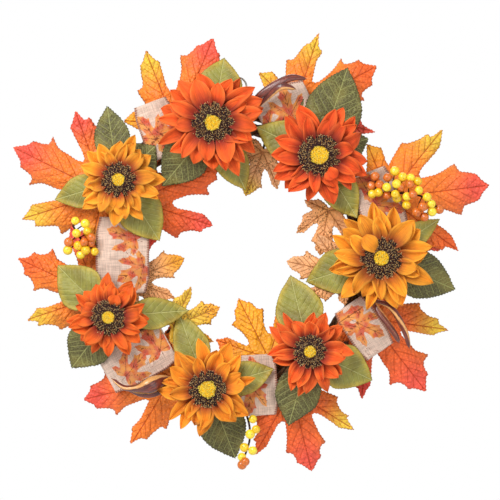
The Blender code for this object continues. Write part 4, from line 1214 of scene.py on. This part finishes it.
def ribbon_loop(index, ribbon):
    """One printed burlap loop with scalloped wired edges."""
    name, heading, length, width, arch, leaves, curls = ribbon
    rng = np.random.default_rng(RIBBON_SEED + index)
    points = node_points(name)
    roof_rise = points[:, 2] + ROOF_SLOPE * away_from_ring(points[:, 0], points[:, 1])
    crest = float(np.percentile(roof_rise, 92)) - arch * 0.6
    low, high = plane_box(name, crest, arch + 3.0)
    x, z = (low + high) / 2.0
    path = ribbon_path(length, arch)
    lengths = run_lengths(path)
    columns = int(width / RIBBON_STEP) | 1
    across = np.linspace(-1.0, 1.0, columns)
    u, h = np.repeat(path[:, 0], columns), np.repeat(path[:, 1], columns)
    s = np.repeat(lengths, columns)
    v_share = np.tile(across, len(path))
    narrow = 1.0 - 0.14 * smoothstep(0.28, 0.55, np.abs(u) / length)
    scallop = 1.1 * np.abs(np.sin(math.pi * s / SCALLOP_PITCH)) * (np.abs(v_share) > 0.999)
    v = v_share * (width / 2.0 * narrow + scallop)
    flat_points = np.column_stack([u, v])
    cloth = np.column_stack([s, v])
    crumple = ripple(cloth, 30.0, rng) * 1.3 + ripple(cloth, 13.0, rng) * 0.3
    droop = -0.0055 * v ** 2 * (1.0 - 0.3 * np.abs(v_share)) + 0.8 * smoothstep(0.88, 1.0, np.abs(v_share))
    heights = h + crumple + droop + 0.8
    top_side = (np.abs(u) < length / 2.0 + 1.0) & (h > -2.0)
    prints = np.full((len(u), 3), NO_PRINT)

    def keep_nearest(channel, near):
        """Lower a channel of the prints to a distance, on the loop's top side."""
        prints[:, channel] = np.where(top_side, np.minimum(prints[:, channel], near), prints[:, channel])

    for place_u, place_v, turn in leaves:
        outline, veins = print_leaf(place_u, place_v, turn, PRINT_LENGTH)
        near = edge_distance(flat_points, outline)
        keep_nearest(0, np.where(inside_outline(flat_points, outline), -near, near))
        keep_nearest(1, line_distance(flat_points, veins))
    for place_u, place_v in curls:
        keep_nearest(2, line_distance(flat_points, [print_curl(place_u, place_v)]))
    detail = np.column_stack([s, v, width / 2.0 * narrow + scallop - np.abs(v)])
    shape = Shape()
    shape.add(lay_blade(flat_points, heights, x, z, heading, crest), grid_faces(len(path), columns), BURLAP,
              detail, prints=prints)
    obj = finish_piece(shape, name + "_loop", name, [PRINTED_BURLAP], RIBBON_CLOTH)
    tie = Shape()
    add_stalk(tie, name, x, z, heading, 0.0, crest - 2.0)
    finish_piece(tie, name + "_tie", name, [TWIG, TWIG])


# ---------------------------------------------------------------- pods, berries, vines and wire

def routed(corners, step):
    """Path of (x, z, depth) and radii through (bearing, offset, depth, radius) corners."""
    rows = [(*ring_plane(bearing, offset), depth, radius) for bearing, offset, depth, radius in corners]
    smooth = catmull(rows, step)
    return smooth[:, :3], smooth[:, 3]


def seed_pods(index, name, routes):
    """Ridged husks that share one stem."""
    shape = Shape()
    for number, corners in enumerate(routes):
        path, radii = routed(corners, 1.6)
        taper = smoothstep(0.0, 5.0, np.linspace(len(path) * 1.6, 0.0, len(path))) * 0.85 + 0.15
        tube(shape, path, radii * taper, 20, ridges=3, ridge_depth=0.1,
             twist=0.05 + 0.02 * (index + number), flat=0.86)
    finish_piece(shape, name + "_husks", name, [HUSK])


def berry(shape, centre, radius, tint, rng):
    """A round berry with a dimple and dark eye at its outer end."""
    axis = np.array([rng.uniform(-0.5, 0.5), rng.uniform(-0.5, 0.5), 1.0])
    axis /= np.linalg.norm(axis)
    side = np.cross(axis, (0.0, 1.0, 0.0))
    side /= np.linalg.norm(side)
    up = np.cross(axis, side)
    points, tints = [], []
    for ring in range(BERRY_RINGS + 1):
        down = math.pi * max(ring, 0.02) / (BERRY_RINGS + 0.02)
        squeeze = 1.0 - 0.10 * math.exp(-(down / 0.3) ** 2)
        eye = 0.55 * math.exp(-(down / 0.12) ** 2)
        for number in range(BERRY_SIDES):
            angle = 2.0 * math.pi * number / BERRY_SIDES
            around = side * math.cos(angle) + up * math.sin(angle)
            offset = (axis * math.cos(down) + around * math.sin(down)) * radius * squeeze
            points.append(centre + offset)
            tints.append(tint * (1.0 - eye) + BERRY_EYE * eye)
    faces = grid_faces(BERRY_RINGS + 1, BERRY_SIDES, closed=True) + end_caps(len(points), BERRY_SIDES)
    shape.add(points, faces, np.array(tints))


def berry_spray(index, name, middle, stem, berries):
    """Lacquered berries on twigs that leave one stem."""
    rng = np.random.default_rng(BERRY_SEED + index)
    shape = Shape()
    path, radii = routed(stem, 3.0)
    tube(shape, path, radii, 8, slot=1)
    outer = path[path[:, 2] > TWIGS_FROM]
    for bearing, offset, rise, copper in berries:
        x, z = ring_plane(bearing, offset)
        centre = np.array([x, z, middle + rise])
        toward = outer[np.argmin(np.linalg.norm(outer - centre, axis=1))]
        tint = COPPER if copper else blend(BERRY_YELLOW, BERRY_PALE, rng.uniform())
        radius = BERRY_RADIUS * rng.uniform(0.94, 1.1)
        berry(shape, centre, radius, tint, rng)
        bend = (toward + centre) / 2.0 + rng.uniform(-1.6, 1.6, 3)
        tube(shape, catmull([toward, bend, centre], 2.0), TWIG_RADIUS, 6, slot=1)
    finish_piece(shape, name + "_berries", name, [BERRY, TWIG])


def vine_strand(index):
    """One rope of thin vines twisted together, with knots and a few loose tendrils."""
    node = f"vine_strand_{index + 1}"
    rng = np.random.default_rng(VINE_SEED + index)
    shape = Shape()
    first = 90.0 * index + STRAND_END_GAP_DEG
    bearings = first + np.linspace(0.0, 360.0 - 2.0 * STRAND_END_GAP_DEG, STRAND_POINTS)
    ends = np.minimum(np.arange(STRAND_POINTS), np.arange(STRAND_POINTS)[::-1])
    phase = np.radians(bearings * STRAND_TURNS + 90.0 * index)
    for member in range(STRAND_MEMBERS):
        roll = np.radians(bearings * 11.0 + 90.0 * member)
        wander = 0.5 * np.sin(np.radians(bearings * rng.integers(5, 13)) + rng.uniform(0.0, 6.0))
        reach = 3.4 + wander
        offset = STRAND_OFFSET * np.cos(phase) + reach * np.cos(roll)
        depth = STRAND_OFFSET * np.sin(phase) + reach * np.sin(roll)
        knots = 0.5 * np.maximum(0.0, np.sin(np.radians(bearings * 9.0) + rng.uniform(0.0, 6.0))) ** 8
        radii = 2.9 + 0.35 * np.sin(np.radians(bearings * 4.0) + member) + knots
        radii = radii * (0.35 + 0.65 * smoothstep(0.0, 5.0, ends))
        shade = np.ones(3) * rng.uniform(0.75, 1.15)
        tube(shape, ring_path(bearings, offset, depth), radii, 8, shade, ridges=3, ridge_depth=0.06,
             twist=0.02)
    for number in range(TENDRILS):
        bearing = first + 60.0 + 80.0 * number + rng.uniform(-15.0, 15.0)
        tendril(shape, bearing, rng)
    finish_piece(shape, node + "_vines", node, [VINE])


def tendril(shape, bearing, rng):
    """A loose curl of thin vine on the back and sides of the ring."""
    turns = np.linspace(0.0, 1.0, 36)
    angle = rng.uniform(-2.6, -0.6) + turns * rng.uniform(1.5, 3.0)
    reach = BUNDLE + 0.2 + 1.5 * np.sin(math.pi * turns)
    spread = bearing + 9.0 * turns
    path = ring_path(spread, reach * np.cos(angle), reach * np.sin(angle))
    tube(shape, path, 0.9 * (1.0 - 0.5 * turns), 6, np.ones(3) * 0.9)


def vine_binding(index, node):
    """A thin vine wound a few times round the bundle."""
    x, z, _ = plane_disc(node)
    bearing = math.degrees(math.atan2(z, x))
    shape = Shape()
    angle = np.linspace(0.0, 2.0 * math.pi * BINDING_TURNS, 90)
    slide = (angle / (2.0 * math.pi) - BINDING_TURNS / 2.0) * 2.5
    radius = BUNDLE + 1.5 + 0.25 * np.sin(angle * 1.7 + index)
    spread = bearing + np.degrees(slide / RING)
    path = ring_path(spread, radius * np.cos(angle), radius * np.sin(angle))
    tube(shape, path, 1.25, 8, np.ones(3) * 0.8)
    finish_piece(shape, node + "_wrap", node, [VINE])


def wire_hanger():
    """A wire wound round the top of the bundle, twisted into a neck and bent into an eye."""
    points = node_points("wire_hanger")
    top = points[:, 1].max()
    eye_radius = (points[:, 0].max() - points[:, 0].min()) / 2.0 - WIRE_RADIUS
    eye = top - WIRE_RADIUS - eye_radius
    collar = points[:, 2].max() - WIRE_RADIUS
    neck_low, neck_high = RING + collar, eye - eye_radius
    shape = Shape()
    angle = np.linspace(0.5 * math.pi, 4.5 * math.pi, 120)
    slide = (angle / (4.0 * math.pi) - 0.625) * 5.0
    path = np.column_stack([slide, RING + collar * np.sin(angle), collar * np.cos(angle)])
    tube(shape, path, 0.9, 10)
    for way in (0.0, math.pi):
        height = np.linspace(neck_low - 1.0, neck_high + 1.0, 40)
        turn = way + (height - neck_low) / (neck_high - neck_low) * 4.0 * math.pi
        tube(shape, np.column_stack([0.95 * np.cos(turn), height, 0.95 * np.sin(turn)]), 0.9, 10)
    around = np.linspace(-0.5 * math.pi + 0.05, 1.5 * math.pi - 0.05, 72)
    loop = np.column_stack([eye_radius * np.cos(around), eye + eye_radius * np.sin(around), np.zeros(72)])
    tube(shape, loop, WIRE_RADIUS, 10)
    finish_piece(shape, "hanger_wire_eye", "wire_hanger", [STEEL], body="hanger")


# ---------------------------------------------------------------- stage

def area_light(name, location, target, size, power):
    """A soft square light that faces a point."""
    data = bpy.data.lights.new(name, "AREA")
    data.size, data.energy = size, power
    light = bpy.data.objects.new(name, data)
    light.location = location
    light.rotation_euler = (Vector(target) - Vector(location)).to_track_quat("-Z", "Y").to_euler()
    bpy.context.scene.collection.objects.link(light)


def white_world():
    """White behind the object, softer white as ambient light."""
    world = bpy.data.worlds.new("studio")
    world.use_nodes = True
    tree = world.node_tree
    background = tree.nodes["Background"]
    background.inputs["Color"].default_value = (1.0, 1.0, 1.0, 1.0)
    rays = tree.nodes.new("ShaderNodeLightPath")
    strength = tree.nodes.new("ShaderNodeMix")
    strength.inputs[2].default_value = 0.5
    strength.inputs[3].default_value = 1.0
    tree.links.new(rays.outputs["Is Camera Ray"], strength.inputs[0])
    tree.links.new(strength.outputs[0], background.inputs["Strength"])
    bpy.context.scene.world = world


def stage():
    """Floor, lights and the camera straight in front."""
    low, high = CAD_BOUNDS
    centre = (low + high) / 2.0
    floor = Shape()
    base = (low.z - FLOOR_DROP - RING_CENTRE.z) / MM
    bearings = np.linspace(0.0, 2.0 * math.pi, FLOOR_SIDES, endpoint=False)
    circles = [(radius * math.cos(a), base, radius * math.sin(a)) for radius in FLOOR_RADII for a in bearings]
    faces = grid_faces(len(FLOOR_RADII), FLOOR_SIDES, closed=True) + [tuple(range(FLOOR_SIDES))]
    floor.add(circles, faces, WHITE)
    floor_piece = floor.build("studio_floor", [floor_material()])
    white_world()
    for name, x, y, z, size, power in LIGHTS:
        area_light(name, (centre.x + x, y, centre.z + z), centre, size, power)
    data = bpy.data.cameras.new("camera")
    data.sensor_width, data.lens = 36.0, LENS
    camera = bpy.data.objects.new("camera", data)
    camera.location = (centre.x - 0.0012, low.y - CAMERA_DISTANCE, centre.z + 0.0032)
    camera.rotation_euler = (math.pi / 2.0, 0.0, 0.0)
    bpy.context.scene.collection.objects.link(camera)
    bpy.context.scene.camera = camera
    bpy.context.scene.view_settings.view_transform = "Standard"


stage()
for index, leaf in enumerate(MAPLES):
    maple_leaf(index, *leaf)
for index, flower in enumerate(SUNFLOWERS):
    leaf_sprig(index, flower)
    petal_whorls(index, flower)
    seed_head(index, flower)
for index, ribbon in enumerate(RIBBONS):
    ribbon_loop(index, ribbon)
for index, (name, routes) in enumerate(PODS):
    seed_pods(index, name, routes)
for index, (name, middle, stem, berries) in enumerate(BERRY_SPRAYS):
    berry_spray(index, name, middle, stem, berries)
for index in range(len(STRANDS)):
    vine_strand(index)
for index, node in enumerate(BINDINGS):
    vine_binding(index, node)
wire_hanger()
